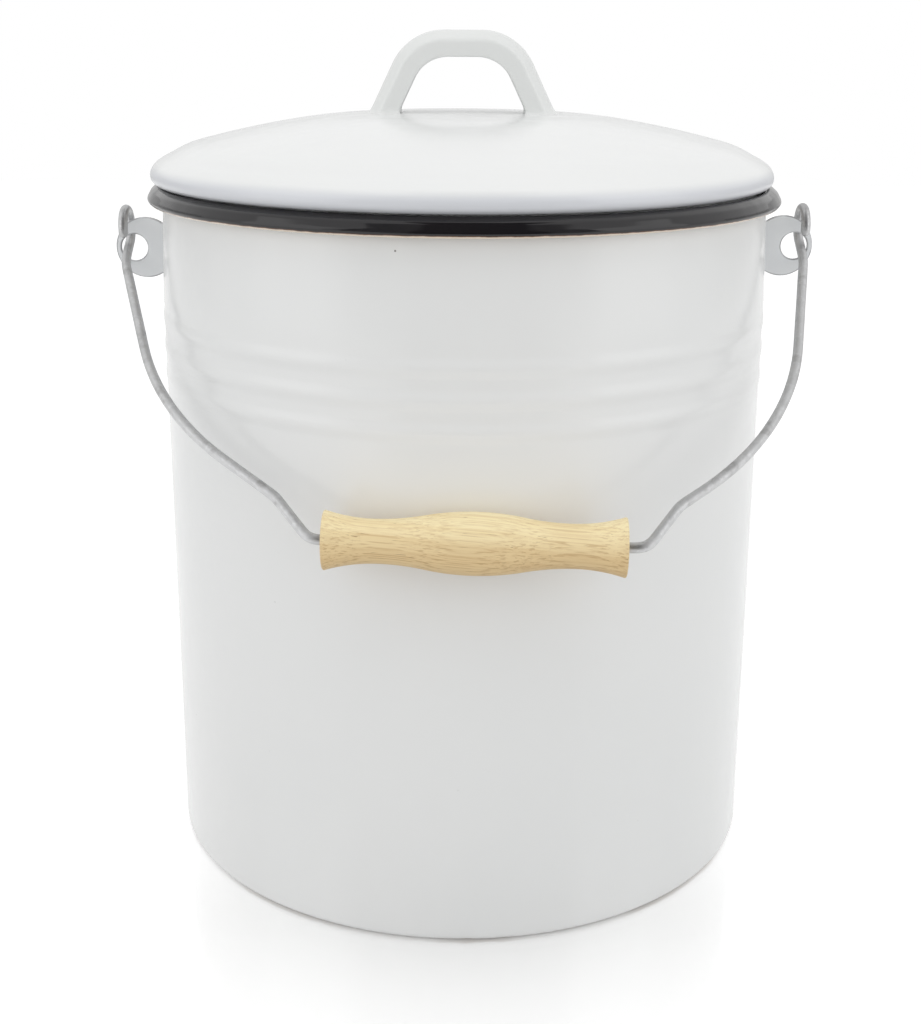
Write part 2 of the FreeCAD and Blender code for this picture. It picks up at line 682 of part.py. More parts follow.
for build in BUILDERS:
    build()
document.recompute()
os.makedirs("parts", exist_ok=True)
for label in NODES:
    piece = checked(document.getObjectsByLabel(label)[0])
    piece.Shape.exportStep(f"parts/{label}.step")
    box = piece.Shape.BoundBox
    print(f"{label:12} {len(piece.Shape.Solids)} solid, {piece.Shape.Volume / 1000:8.2f} cm3,"
          f" x {box.XMin:.1f} {box.XMax:.1f} y {box.YMin:.1f} {box.YMax:.1f} z {box.ZMin:.1f} {box.ZMax:.1f}")
print({name: round(number, 4) for name, number in HANG.items()}, "lean", round(math.degrees(HANG["lean"]), 3),
      "tilt", round(math.degrees(HINGE_TILT), 4), "axis y", round(AXIS_Y, 4))
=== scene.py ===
# %% [markdown]
# # A white enamel pail with a lid
#
# This lesson dresses a lidded pail of enamelled sheet steel: a tapered wall with three swaged ribs, a black
# rolled rim, two pierced ears, a galvanised wire bail with a turned wooden grip, and a domed lid with an
# arched handle. The construction model is loaded first and never changed. Each of its solids is then
# replaced by a finer surface that sits in the same place.

import json

import bpy
import numpy as np
from mathutils import Matrix, Vector


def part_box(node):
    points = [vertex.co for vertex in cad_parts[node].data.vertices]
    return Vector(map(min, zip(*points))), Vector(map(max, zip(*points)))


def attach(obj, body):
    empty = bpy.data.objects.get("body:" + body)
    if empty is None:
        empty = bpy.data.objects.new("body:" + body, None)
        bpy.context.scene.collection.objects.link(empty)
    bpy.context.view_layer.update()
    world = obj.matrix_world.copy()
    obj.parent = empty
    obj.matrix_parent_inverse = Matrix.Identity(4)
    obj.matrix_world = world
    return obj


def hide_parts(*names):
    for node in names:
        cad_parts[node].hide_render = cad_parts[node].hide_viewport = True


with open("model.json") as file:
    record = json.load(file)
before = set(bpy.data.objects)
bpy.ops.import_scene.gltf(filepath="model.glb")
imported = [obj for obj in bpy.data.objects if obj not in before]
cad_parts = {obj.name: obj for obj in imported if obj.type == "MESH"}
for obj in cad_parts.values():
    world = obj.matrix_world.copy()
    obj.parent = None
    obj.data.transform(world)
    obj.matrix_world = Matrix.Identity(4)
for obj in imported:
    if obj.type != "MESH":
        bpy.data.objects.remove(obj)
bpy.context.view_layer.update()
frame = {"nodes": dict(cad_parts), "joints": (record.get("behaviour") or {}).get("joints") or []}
joints = {joint["name"]: joint for joint in frame["joints"]}
print("construction model:", len(frame["nodes"]), "nodes, joints", sorted(joints))

# %% [markdown]
# ## Measures
#
# Blender works in metres, and a maker of sheet ware thinks in millimetres, so every size below is written in
# millimetres and scaled once. The pail's own axis is read from the box of its wall, and the lid's from the
# box of its shell, because the lid sits a little to one side in its loose seat.

# %% Measures shared by several pieces
MM = 0.001
SHEET = 1.0                      # enamelled sheet, steel and glaze together


def middle_of(node):
    """Middle of a node's box, (low + high) / 2, in millimetres."""
    low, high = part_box(node)
    return np.array((low + high) / 2) / MM


wall_middle, lid_middle = middle_of("pail_wall"), middle_of("lid_shell")
RIM_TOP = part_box("rim_bead")[1].z / MM
LID_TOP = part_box("lid_shell")[1].z / MM
print("axis", wall_middle[:2].round(3), "lid axis", lid_middle[:2].round(3))
print(f"top of the rim {RIM_TOP:.2f}, top of the lid's shell {LID_TOP:.2f}")

# %% [markdown]
# ## From a grid of points to a mesh
#
# Nearly everything on a pail is bent sheet or turned work, so every piece here is a grid: rows of rings. One
# helper turns such a grid into a mesh. It joins neighbouring rings with quads, closes the first and last
# ring with a strip of quads where the rows don't meet, and turns the faces round if the volume that they
# enclose comes out negative, so that they always point outwards.

# %% Skin a grid of rings
def ring_quads(rows, columns, rows_closed):
    """Quads between ring i and ring i + 1, each ring closed on itself. With rows_closed the last ring is
    joined to the first. Otherwise both end rings are filled by quads (i, i+1, n-2-i, n-1-i)."""
    row = np.arange(rows if rows_closed else rows - 1)[:, None]
    column = np.arange(columns)[None, :]
    here, after = row * columns, (row + 1) % rows * columns
    beside = (column + 1) % columns
    quads = np.stack([here + column, here + beside, after + beside, after + column], -1).reshape(-1, 4)
    if rows_closed:
        return quads
    i = np.arange(columns // 2 - 1)
    cap = np.stack([i, i + 1, columns - 2 - i, columns - 1 - i], -1)
    return np.concatenate([quads, cap[:, ::-1], cap + (rows - 1) * columns])


def enclosed(points, quads):
    """Volume inside the quads: the sum over their triangles of a . (b x c) / 6."""
    a, b, c, d = (points[quads[:, corner]] for corner in range(4))
    return float(np.einsum("ij,ij->", a, np.cross(b, c)) + np.einsum("ij,ij->", a, np.cross(c, d))) / 6


def placed(name, data):
    """A new object with this data, in the scene and at the origin."""
    thing = bpy.data.objects.new(name, data)
    bpy.context.scene.collection.objects.link(thing)
    return thing


def skin(name, *shells):
    """One mesh object from closed shells, each a grid (rows, columns, xyz) in millimetres and whether its
    rows close."""
    all_points, all_quads, count = [], [], 0
    for grid, rows_closed in shells:
        points = grid.reshape(-1, 3)
        quads = ring_quads(grid.shape[0], grid.shape[1], rows_closed)
        centred = points - points.mean(0)
        if enclosed(centred, quads) < 0:
            quads = quads[:, ::-1]
        all_points.append(points * MM)
        all_quads.append(quads + count)
        count += len(points)
    points, quads = np.concatenate(all_points), np.concatenate(all_quads)
    mesh = bpy.data.meshes.new(name)
    mesh.from_pydata(points.tolist(), [], quads.tolist())
    mesh.polygons.foreach_set("use_smooth", np.ones(len(quads), bool))
    mesh.update()
    print(f"{name}: {len(quads)} quads, {(points.max(0) - points.min(0)) / MM} mm")
    return placed(name, mesh)


def stands_for(piece, node, body, material):
    """The piece takes a solid's place: its body and its finish, and the solid is hidden."""
    piece.data.materials.append(material)
    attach(piece, body)
    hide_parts(node)


# %% [markdown]
# ## Lines with rounded bends
#
# A press or a bender never makes a sharp corner. So a profile is written as the corners that a drawing would
# show, and a helper puts an arc into each. A second helper gives such a line the thickness of the sheet, and
# rounds its two edges, because glaze gathers there in a soft lip.

# %% Bend a line and thicken it into sheet
def tangent_arc(before, corner, after, radius, count, share=0.8):
    """Points of the circle that touches both runs beside a corner. It touches them radius * tan(turn / 2)
    from the corner, and never further along than a share of the shorter run."""
    back, on = before - corner, after - corner
    back_length, on_length = np.linalg.norm(back), np.linalg.norm(on)
    back, on = back / back_length, on / on_length
    turn = np.arccos(np.clip(-back @ on, -1, 1))
    cut = min(radius * np.tan(turn / 2), share * min(back_length, on_length))
    radius = cut / np.tan(turn / 2)
    centre = corner + (back + on) / np.linalg.norm(back + on) * radius / np.cos(turn / 2)
    start = corner + back * cut
    angle = np.linspace(0, turn, count)[:, None]
    return centre + np.cos(angle) * (start - centre) - np.sin(angle) * radius * back


def arc(centre, radius, start, end, count):
    """Points centre + radius (cos a, sin a), for a from start to end in degrees."""
    angle = np.radians(np.linspace(start, end, count))[:, None]
    return centre + radius * np.concatenate([np.cos(angle), np.sin(angle)], 1)


def bent_line(corners, radii, count=10):
    """Straight runs between the corners with an arc at each inner one."""
    corners = np.asarray(corners, float)
    arcs = [tangent_arc(*corners[index:index + 3], radius, count) for index, radius in enumerate(radii)]
    return np.concatenate([corners[:1], *arcs, corners[-1:]])


def even(line, step):
    """The same line with its points a step apart, found by interpolating along its length."""
    along = np.concatenate([[0], np.cumsum(np.linalg.norm(np.diff(line, axis=0), axis=1))])
    stations = np.linspace(0, along[-1], int(round(along[-1] / step)) + 1)
    return np.stack([np.interp(stations, along, column) for column in line.T], -1)


def eased(line, reach):
    """Each point becomes a mean of its neighbours within reach, weighted by a squared cosine, so that a bend
    starts and ends gently."""
    steps = np.arange(-reach, reach + 1)
    weight = np.cos(np.pi * steps / (2 * reach + 2)) ** 2
    weight /= weight.sum()
    padded = np.concatenate([np.repeat(line[:1], reach, 0), line, np.repeat(line[-1:], reach, 0)])
    return np.stack([np.convolve(column, weight, "valid") for column in padded.T], -1)


def sideways(line):
    """Unit normals of a flat line: its direction turned by a quarter."""
    way = np.gradient(line, axis=0)
    way /= np.linalg.norm(way, axis=1, keepdims=True)
    return np.stack([-way[:, 1], way[:, 0]], -1), way


def sheet_outline(line, thickness, start_cap=True, cap_points=6):
    """Outline of a sheet whose middle is the line: out along one face, round the edge on a half circle, back
    along the other face. Point i lies across the sheet from point n - 1 - i."""
    normal, way = sideways(line)
    half = thickness / 2
    angle = np.linspace(0, np.pi, cap_points + 2)[1:-1, None]
    end = line[-1] + half * (np.cos(angle) * normal[-1] + np.sin(angle) * way[-1])
    start = line[0] - half * (np.cos(angle) * normal[0] + np.sin(angle) * way[0])
    if not start_cap:
        return np.concatenate([line + half * normal, end, (line - half * normal)[::-1]])
    outline = np.concatenate([line + half * normal, end, (line - half * normal)[::-1], start])
    return np.roll(outline, cap_points // 2, axis=0)


def lathe(outline, axis, turns=240):
    """The outline (radius, height) carried round an upright axis: x = r cos a, y = r sin a."""
    angle = np.linspace(0, 2 * np.pi, turns, endpoint=False)[None, :]
    radius, height = outline[:, :1], outline[:, 1:]
    return np.stack([axis[0] + radius * np.cos(angle), axis[1] + radius * np.sin(angle),
                     height + 0 * angle], -1)


# %% [markdown]
# ## Nodes for a finish
#
# A finish is a small graph of nodes. These helpers keep the graphs readable: one adds a node and sets its
# values, one mixes two colours, one lays a noise over the piece. Patterns read Object coordinates. Every
# piece has its origin at the frame's, so one metre of the pattern is one metre of the pail. The first class
# serves the light of the world too.

# %% Helpers for material nodes
class Nodes:
    """A tree of nodes, and short ways to add to it."""

    def __init__(self, tree):
        self.tree = tree

    def add(self, kind, inputs=(), **settings):
        """New node with its settings, its inputs linked or set."""
        node = self.tree.nodes.new(kind)
        for key, setting in settings.items():
            setattr(node, key, setting)
        for key, source in dict(inputs).items():
            self.feed(source, node.inputs[key])
        return node

    def feed(self, source, socket):
        """Link a node's output to the socket, or set the socket to a plain value."""
        if isinstance(source, bpy.types.NodeSocket):
            self.tree.links.new(source, socket)
        else:
            socket.default_value = source

    def math(self, operation, *numbers):
        """The answer of a Math node."""
        return self.add("ShaderNodeMath", enumerate(numbers), operation=operation).outputs[0]

    def ease(self, number, low, high, to_low=0.0, to_high=1.0):
        """Smooth step 3 t^2 - 2 t^3 of a number between two limits, from one value to another."""
        inputs = {"Value": number, "From Min": low, "From Max": high, "To Min": to_low, "To Max": to_high}
        return self.add("ShaderNodeMapRange", inputs, interpolation_type="SMOOTHSTEP").outputs["Result"]

    def axes(self, vector):
        """X, Y and Z of a vector."""
        return self.add("ShaderNodeSeparateXYZ", {"Vector": vector}).outputs


class Finish(Nodes):
    """A new material with one Principled shader, whose patterns start from the place on the piece."""

    def __init__(self, name, **values):
        self.material = bpy.data.materials.new(name)
        self.material.use_nodes = True
        super().__init__(self.material.node_tree)
        self.shader = self.tree.nodes["Principled BSDF"]
        self.set(**values)
        self.place = self.add("ShaderNodeTexCoord").outputs["Object"]

    def set(self, **values):
        """Link or set sockets of the Principled shader, with _ for each space in a socket's name."""
        for socket, source in values.items():
            self.feed(source, self.shader.inputs[socket.replace("_", " ")])

    def noise(self, scale, detail=3.0, roughness=0.5, place=None):
        """Soft noise from 0 to 1. On the piece itself it has about scale waves to the metre."""
        inputs = {"Vector": place or self.place, "Scale": scale, "Detail": detail, "Roughness": roughness}
        return self.add("ShaderNodeTexNoise", inputs).outputs["Fac"]

    def mix(self, share, first, second):
        """Colour first * (1 - share) + second * share."""
        node = self.add("ShaderNodeMix", data_type="RGBA")
        for socket, source in zip((node.inputs[0], node.inputs[6], node.inputs[7]), (share, first, second)):
            self.feed(source, socket)
        return node.outputs[2]

    def bump(self, height, distance, strength, under=None):
        """Normal of a relief that is distance metres high, laid over another one."""
        node = self.add("ShaderNodeBump", {"Height": height, "Distance": distance, "Strength": strength})
        if under is not None:
            self.feed(under, node.inputs["Normal"])
        return node.outputs["Normal"]


# %% [markdown]
# ## White vitreous enamel
#
# Enamel is glass, fired on to steel in thin coats. It is smooth and glossy but never optically flat: it has
# a faint orange peel, a slow drift in its tone where the coat is thicker, and a few dark specks where scale
# burned through. A Principled shader with a glass-like gloss and small patterns gives that. Along an edge
# that stood in the kiln the coat is thin, and the iron shows through as a brown line. Under the lid's lip
# the colour is painted darker and a little bluish, which is painted shade, and the handle gets a darker copy
# of the white, which is painted shade too.

# %% White enamel
WHITE, COOL_WHITE = (0.87, 0.877, 0.872, 1), (0.856, 0.866, 0.862, 1)
# Painted shade: darker copies of the white, used for the handle.
SHADED_WHITE, SHADED_COOL_WHITE = (0.80, 0.81, 0.80, 1), (0.785, 0.80, 0.79, 1)
BROWN_EDGE = (0.25, 0.19, 0.13, 1)
# Painted shade: the darker, bluish tone under the lid's lip.
LIP_SHADE_COLOUR = (0.71, 0.725, 0.76, 1)
SPECK = (0.12, 0.10, 0.09, 1)
SPECK_CELLS, SPECK_SIZE = 48.0, 0.022       # cells to the metre, and the largest speck's radius in cells
EDGE_RAGGED = 0.0009                        # metres that the edge wanders up and down
EDGE_FADE, LIP_SHADE_FADE = 0.0005, 0.0019       # metres: the edge from full to none, the painted lip shade from full to half


def white_enamel(name, edge_below=None, shade_below=None, tones=(WHITE, COOL_WHITE)):
    """Enamel with a brown edge under one height and a painted shade, darker and bluish, under another, both
    in metres.
    """
    finish = Finish(name, IOR=1.55)
    drift = finish.ease(finish.noise(7.0, 2.0), 0.35, 0.65)
    colour = finish.mix(drift, *tones)
    cells = finish.add("ShaderNodeTexVoronoi", {"Vector": finish.place, "Scale": SPECK_CELLS})
    chance = finish.axes(cells.outputs["Color"])
    size = finish.math("MULTIPLY", chance[0], SPECK_SIZE)
    speck = finish.math("LESS_THAN", cells.outputs["Distance"], size)
    colour = finish.mix(finish.math("MULTIPLY", speck, 0.75), colour, SPECK)
    if edge_below is not None:
        height = finish.axes(finish.place)[2]
        lowest = edge_below - EDGE_RAGGED / 2
        ragged = finish.math("MULTIPLY_ADD", finish.noise(160.0, 2.0), EDGE_RAGGED, lowest)
        worn = finish.ease(finish.math("SUBTRACT", height, ragged), 0.0, EDGE_FADE, 1.0, 0.0)
        patchy = finish.ease(finish.noise(14.0, 1.0), 0.38, 0.6, 0.25, 1.0)
        colour = finish.mix(finish.math("MULTIPLY", worn, patchy), colour, BROWN_EDGE)
    # Painted shade: below a wavy height the colour turns darker and bluish, as if the lip were in shade.
    if shade_below is not None:
        height = finish.math("MULTIPLY_ADD", finish.noise(9.0, 1.0), 0.0012, finish.axes(finish.place)[2])
        lip_shade = finish.ease(height, shade_below - LIP_SHADE_FADE, shade_below + LIP_SHADE_FADE, 1.0, 0.0)
        colour = finish.mix(lip_shade, colour, LIP_SHADE_COLOUR)
    gloss = finish.ease(finish.noise(60.0, 2.0), 0.3, 0.7, 0.20, 0.26)
    peel = finish.bump(finish.noise(260.0, 2.0), 0.00002, 0.5)
    waves = finish.bump(finish.noise(26.0, 1.0), 0.00018, 0.5, peel)
    finish.set(Base_Color=colour, Roughness=gloss, Normal=waves)
    return finish.material


wall_enamel = white_enamel("white_enamel_wall", edge_below=0.0007)
inner_enamel = white_enamel("white_enamel_inside")
print("materials:", wall_enamel.name, inner_enamel.name)

# %% [markdown]
# ## The wall
#
# The wall of a pail is one sheet, rolled and seamed, with ribs swaged into it between two wheels and a neck
# drawn in under the rim. Its foot is turned in under the pail. It could be modelled with edge loops and
# creases, but a swaged rib has an exact formula, a raised cosine, so the wall's profile is worked out as a
# function of height and carried round the axis. A hand-held wheel never runs quite true, so a few slow waves
# of a tenth of a millimetre are added to the radius.

# %% Wall profile and surface
BASE_RADIUS, SHOULDER, MOUTH = 131.9, 129.9, 128.2
BASE_CORNER, FOOT_WIDTH = 2.5, 10.0
NECK_START, WALL_TOP = RIM_TOP - 43.7, RIM_TOP - 3.7
RIB_DROP, RIB_PITCH, RIB_HALF, RIB_HEIGHT = 54.7, 12.0, 4.6, 0.4
WALL_WAVE = 0.13
rib_crests = RIM_TOP - RIB_DROP - RIB_PITCH * np.arange(3)


def wall_outside(height):
    """Outside radius of the wall: a straight taper, a second one up the neck, and at each rib
    RIB_HEIGHT * (1 + cos(pi * d / RIB_HALF)) / 2, where d is the distance from its crest."""
    taper = np.interp(height, [BASE_CORNER, NECK_START, WALL_TOP], [BASE_RADIUS, SHOULDER, MOUTH])
    reach = np.clip(np.abs(height[:, None] - rib_crests) / RIB_HALF, 0, 1)
    return taper + (RIB_HEIGHT * (1 + np.cos(np.pi * reach)) / 2).sum(1)


def wall_line():
    """Middle of the sheet: foot, a quarter circle, then up the wall in steps that are finer at the ribs."""
    low, high = rib_crests[-1] - 8, rib_crests[0] + 8
    heights = np.concatenate([np.arange(BASE_CORNER, low, 3.5), np.arange(low, high, 0.55),
                              np.arange(high, WALL_TOP, 2.5), [WALL_TOP]])
    up = np.stack([wall_outside(heights) - SHEET / 2, heights], -1)
    corner = arc([BASE_RADIUS - BASE_CORNER, BASE_CORNER], BASE_CORNER - SHEET / 2, -90, 0, 9)[:-1]
    foot = np.stack([np.linspace(BASE_RADIUS - FOOT_WIDTH + SHEET / 2, corner[0, 0], 5)[:-1],
                     np.full(4, SHEET / 2)], -1)
    return np.concatenate([foot, corner, up])


def not_quite_round(grid, axis):
    """Push each point outwards by WALL_WAVE times the sum of three slow sine waves in its angle and height,
    which fades out at the foot and the rim."""
    x, y, height = grid[..., 0] - axis[0], grid[..., 1] - axis[1], grid[..., 2]
    angle, up = np.arctan2(y, x), height / WALL_TOP
    wave = (np.sin(3 * angle + 4.1 * up + 0.7) + 0.7 * np.sin(5 * angle - 6.3 * up + 2.0)
            + 0.45 * np.sin(9 * angle + 9.7 * up)) / 2.15
    fade = np.sin(np.pi * np.clip(up, 0, 1)) ** 0.7
    push = 1 + WALL_WAVE * wave * fade / np.hypot(x, y)
    return np.stack([axis[0] + x * push, axis[1] + y * push, height], -1)


wall_grid = not_quite_round(lathe(sheet_outline(wall_line(), SHEET), wall_middle), wall_middle)
pail_shell = skin("pail_shell", (wall_grid, True))
stands_for(pail_shell, "pail_wall", "pail", wall_enamel)

# %% [markdown]
# ## The bottom
#
# The bottom is a pressed disc. It lies on the turned-in foot and rises in the middle, which keeps it off the
# floor and stiffens it. It is seen from below and through the mouth. An S-shaped ramp, the smooth step
# 3 s^2 - 2 s^3, joins the two levels.

# %% Bottom
BOTTOM_RISE, BOTTOM_RAMP = 6.0, 8.0


def bottom_line():
    """Middle of the sheet from the axis to the edge."""
    inner = BASE_RADIUS - FOOT_WIDTH
    edge = BASE_RADIUS - BASE_CORNER - 0.1 - SHEET / 2
    radius = np.concatenate([np.linspace(0.6, inner - BOTTOM_RAMP, 24)[:-1],
                             np.linspace(inner - BOTTOM_RAMP, inner, 14), np.linspace(inner, edge, 5)[1:]])
    down = np.clip((radius - inner + BOTTOM_RAMP) / BOTTOM_RAMP, 0, 1)
    drop = (BOTTOM_RISE - SHEET) * (3 * down ** 2 - 2 * down ** 3)
    return np.stack([radius, BOTTOM_RISE + SHEET / 2 - drop], -1)


bottom_grid = lathe(sheet_outline(bottom_line(), SHEET, start_cap=False), wall_middle, 180)
pail_floor = skin("pail_floor", (bottom_grid, False))
stands_for(pail_floor, "pail_bottom", "pail", inner_enamel)

# %% [markdown]
# ## The rolled rim
#
# The edge of the sheet is rolled outwards, which hides the sharp edge and makes the mouth stiff. It is dipped
# in black enamel. The roll isn't a true circle: the wheel presses its outside into a sloping face that ends
# in a tighter curl below. So it is drawn as a line with seven corners and a bend in each inner one. Where
# the dip ends, under the roll, the black thins out to a ragged brown line.

# %% Rim
RIM_CORNERS = [(0.5, -3.9), (0.5, -0.5), (2.9, -0.5), (5.35, -2.5), (7.1, -5.6), (6.0, -6.95), (2.5, -7.0)]
RIM_BENDS = [1.9, 1.6, 1.2, 1.2, 0.9]
DIP_DEPTH = 6.85                 # from the top of the rim to where the black ends
BLACK, BROWN_BLACK = (0.006, 0.006, 0.008, 1), (0.014, 0.012, 0.013, 1)
RUST, CREAM = (0.20, 0.08, 0.035, 1), (0.86, 0.75, 0.63, 1)


def rim_line():
    """Middle of the sheet, outwards from the wall and down from the top of the rim: over the mouth, down
    the sloping face, round the curl and back to the wall."""
    line = bent_line(np.array(RIM_CORNERS) + [MOUTH - SHEET, RIM_TOP], RIM_BENDS, 12)
    return eased(even(line, 0.22), 2)


def black_enamel():
    """Black glaze that turns brown and then cream in the last millimetre of the dip."""
    finish = Finish("black_enamel_rim", IOR=1.5)
    height = finish.axes(finish.place)[2]
    ragged = finish.math("MULTIPLY_ADD", finish.noise(220.0, 3.0), 0.0007, -0.00035)
    height = finish.math("ADD", height, ragged)
    edge = (RIM_TOP - DIP_DEPTH) * MM
    black = finish.mix(finish.noise(30.0), BLACK, BROWN_BLACK)
    rust = finish.ease(height, edge + 0.0002, edge + 0.0006, 1.0, 0.0)
    colour = finish.mix(rust, black, RUST)
    cream = finish.ease(height, edge, edge + 0.0003, 1.0, 0.0)
    colour = finish.mix(cream, colour, CREAM)
    gloss = finish.ease(finish.noise(90.0), 0.3, 0.7, 0.06, 0.13)
    ripple = finish.bump(finish.noise(55.0, 1.5), 0.0008, 0.5)
    finish.set(Base_Color=colour, Roughness=gloss, Normal=ripple)
    return finish.material


rolled_rim = skin("rolled_rim", (lathe(sheet_outline(rim_line(), SHEET), wall_middle, 300), True))
stands_for(rolled_rim, "rim_bead", "pail", black_enamel())

# %% [markdown]
# ## The ears
#
# Each ear is a stamped disc with an off-centre hole, stood on edge against the wall, with a foot bent back
# along the wall and welded. Both were enamelled with the pail, so a soft fillet of glaze fills the joint.
# The disc is a ring-shaped surface: one parameter goes round the hole, and the other goes round the plate's
# section, over the front face, the outer edge, the back face and the hole's edge.

# %% Ear plates
EAR_RADIUS, EAR_REACH, EAR_SHEET, EAR_DROP, EAR_SKEW = 13.1, 9.65, 1.5, 28.2, 1.2
HOLE_RADIUS, HOLE_SHIFT = 5.7, 5.1
EAR_FOOT_HEIGHT, EAR_FOOT_ANGLE = 18.0, 7.0
EDGE_POINTS, FACE_POINTS = 9, 12           # points of the plate's section round an edge and over a face
GLAZE_REACH = 131.0                        # so far from the pail's middle, glaze covers the plate's edges
EAR_SINK, EAR_SOFT = 0.35, 0.35            # into the wall, and the rounding where the outline meets it
GLAZE_SWELL, GLAZE_SPREAD = 1.1, 0.9
NECK_SLOPE = (SHOULDER - MOUTH) / (WALL_TOP - NECK_START)


def neck_outside(height):
    """Radius of the neck, a straight taper: shoulder - slope * (height - start)."""
    return SHOULDER - NECK_SLOPE * (height - NECK_START)


def squared(angle, power=0.72):
    """Cosine and sine with their curve squared off: sign(c) |c| ^ power."""
    cosine, sine = np.cos(angle), np.sin(angle)
    return np.sign(cosine) * np.abs(cosine) ** power, np.sign(sine) * np.abs(sine) ** power


def ear_disc(side):
    """Plate between its hole and its outline. From the hole's middle, at angle a, the round outline lies
    -s cos a + sqrt(R^2 - s^2 sin^2 a) away, and the wall's straight line cuts it short."""
    middle = RIM_TOP - EAR_DROP + side * EAR_SKEW
    hole = neck_outside(RIM_TOP - EAR_DROP) + EAR_REACH + HOLE_SHIFT
    angle = np.linspace(0, 2 * np.pi, 144, endpoint=False)[:, None]
    to_round = -HOLE_SHIFT * np.cos(angle) + np.sqrt(EAR_RADIUS ** 2 - (HOLE_SHIFT * np.sin(angle)) ** 2)
    slant = np.minimum(np.cos(angle) + NECK_SLOPE * np.sin(angle), -1e-3)
    to_wall = np.minimum((neck_outside(middle) - EAR_SINK - hole) / slant, 60)
    outer = -np.log(np.exp(-to_round / EAR_SOFT) + np.exp(-to_wall / EAR_SOFT)) * EAR_SOFT
    half = EAR_SHEET / 2
    turn = np.linspace(-np.pi / 2, np.pi / 2, EDGE_POINTS)
    outward, front = squared(turn)
    inwards = np.linspace(1, 0, FACE_POINTS + 2)[1:-1]
    outwards = np.linspace(0, 1, FACE_POINTS + 2)[1:-1]
    none, full = np.zeros(FACE_POINTS), np.ones(FACE_POINTS)
    across = np.concatenate([0 * turn + 1, inwards, 0 * turn, outwards])
    rounding = np.concatenate([outward, none, -outward, none]) * half
    thick = np.concatenate([front, full, -front, -full]) * half
    distance = (HOLE_RADIUS + half) + across * (outer - HOLE_RADIUS - 2 * half) + rounding
    x, z = hole + distance * np.cos(angle), middle + distance * np.sin(angle)
    fillet = 1 + GLAZE_SWELL * np.exp(-np.maximum(x - neck_outside(z), 0) / GLAZE_SPREAD)
    return np.stack([side * x + wall_middle[0], wall_middle[1] - thick * fillet, z], -1)


def ear_foot(side):
    """Tab that follows the wall behind the plate: a squared-off section carried up the wall, drawn in at
    its two ends, its back lying in the glaze."""
    middle = RIM_TOP - EAR_DROP + side * EAR_SKEW
    rise = np.linspace(-1, 1, 33)[:, None]
    round_off = (1 - np.abs(rise) ** 7) ** 0.5
    round_off[[0, -1]] = 0.25
    turn = np.linspace(0, 2 * np.pi, 64, endpoint=False)[None, :]
    along, out = squared(turn, 0.4)
    height = middle + rise * EAR_FOOT_HEIGHT / 2 + 0 * along
    reach = np.radians(EAR_FOOT_ANGLE) / 2
    angle = reach + along * round_off * reach
    radius = neck_outside(height) + 0.55 + out * (0.35 + 0.6 * round_off)
    x, y = side * radius * np.cos(angle), radius * np.sin(angle)
    return np.stack([wall_middle[0] + x, wall_middle[1] + y, height], -1)


def ear_enamel():
    """White enamel that is thin on the cut edges of the plate, where the iron shows grey."""
    finish = Finish("white_enamel_ears", Roughness=0.2, IOR=1.5)
    thin = finish.add("ShaderNodeAttribute", attribute_name="edge").outputs["Fac"]
    drift = finish.ease(finish.noise(40.0, 2.0), 0.3, 0.7)
    colour = finish.mix(drift, (0.87, 0.885, 0.90, 1), (0.82, 0.84, 0.855, 1))
    worn = finish.math("MULTIPLY", thin, finish.ease(finish.noise(120.0), 0.3, 0.6, 0.15, 0.85))
    colour = finish.mix(worn, colour, (0.30, 0.30, 0.31, 1))
    finish.set(Base_Color=colour, Normal=finish.bump(finish.noise(200.0), 0.0001, 0.5))
    return finish.material


ear_finish = ear_enamel()
for label, side in (("left", -1), ("right", 1)):
    plate, foot = ear_disc(side), ear_foot(side)
    ear = skin(f"ear_plate_{label}", (plate, True), (foot, False))
    column = np.arange(plate.shape[1]) % (EDGE_POINTS + FACE_POINTS)
    on_edge = (column > 0) & (column < EDGE_POINTS - 1)
    thin = on_edge * np.clip(np.abs(plate[..., 0]) - GLAZE_REACH, 0, 1)
    thin = np.concatenate([thin.ravel(), np.zeros(foot.shape[0] * foot.shape[1])])
    ear.data.attributes.new("edge", "FLOAT", "POINT").data.foreach_set("value", thin)
    stands_for(ear, f"ear_{label}", "pail", ear_finish)

# %% [markdown]
# ## The bail
#
# The bail is one length of galvanised wire, bent cold by hand, so its two sides differ by a few millimetres.
# Its corners are the ones in the construction model, in the plane of the bow. A round section is carried
# along that line. The section needs a direction that doesn't flip on the way: the normal of the bow's plane
# does that on the bow, and the hinge's direction does it round the hooks, and the two meet square to each
# other at the foot of each hook.

# %% Wire path
WIRE, RING, HOOK_TURN, LEAN = 2.0, 7.8007, 260.0, 58.392
HOOK_X, WRIST_DROP = 146.973, 13.9
left_bow = [(-HOOK_X, 0), (-HOOK_X, -WRIST_DROP), (-120.71, -104.87), (-71.19, -149.00), (-57.02, -170.00)]
right_bow = [(66.64, -174.43), (80.27, -154.23), (127.81, -116.27), (HOOK_X, -WRIST_DROP), (HOOK_X, 0)]
bend_radii = [30.0, 133.6, 14.0, 7.0]
PATH_STEP, HOOK_POINTS, UNEVEN = 0.7, 52, 0.035


def bail_axes():
    """Hinge direction, the bow's normal and its upward direction, as the bail leans on the wall."""
    hinge = -np.array(joints["bail_swing"]["axis"])
    lean = np.radians(LEAN)
    upright = np.cross(hinge, [0, 1, 0])
    back = np.cos(lean) * np.array([0, 1.0, 0]) - np.sin(lean) * upright
    up = np.sin(lean) * np.array([0, 1.0, 0]) + np.cos(lean) * upright
    return np.array([hinge, back, up])


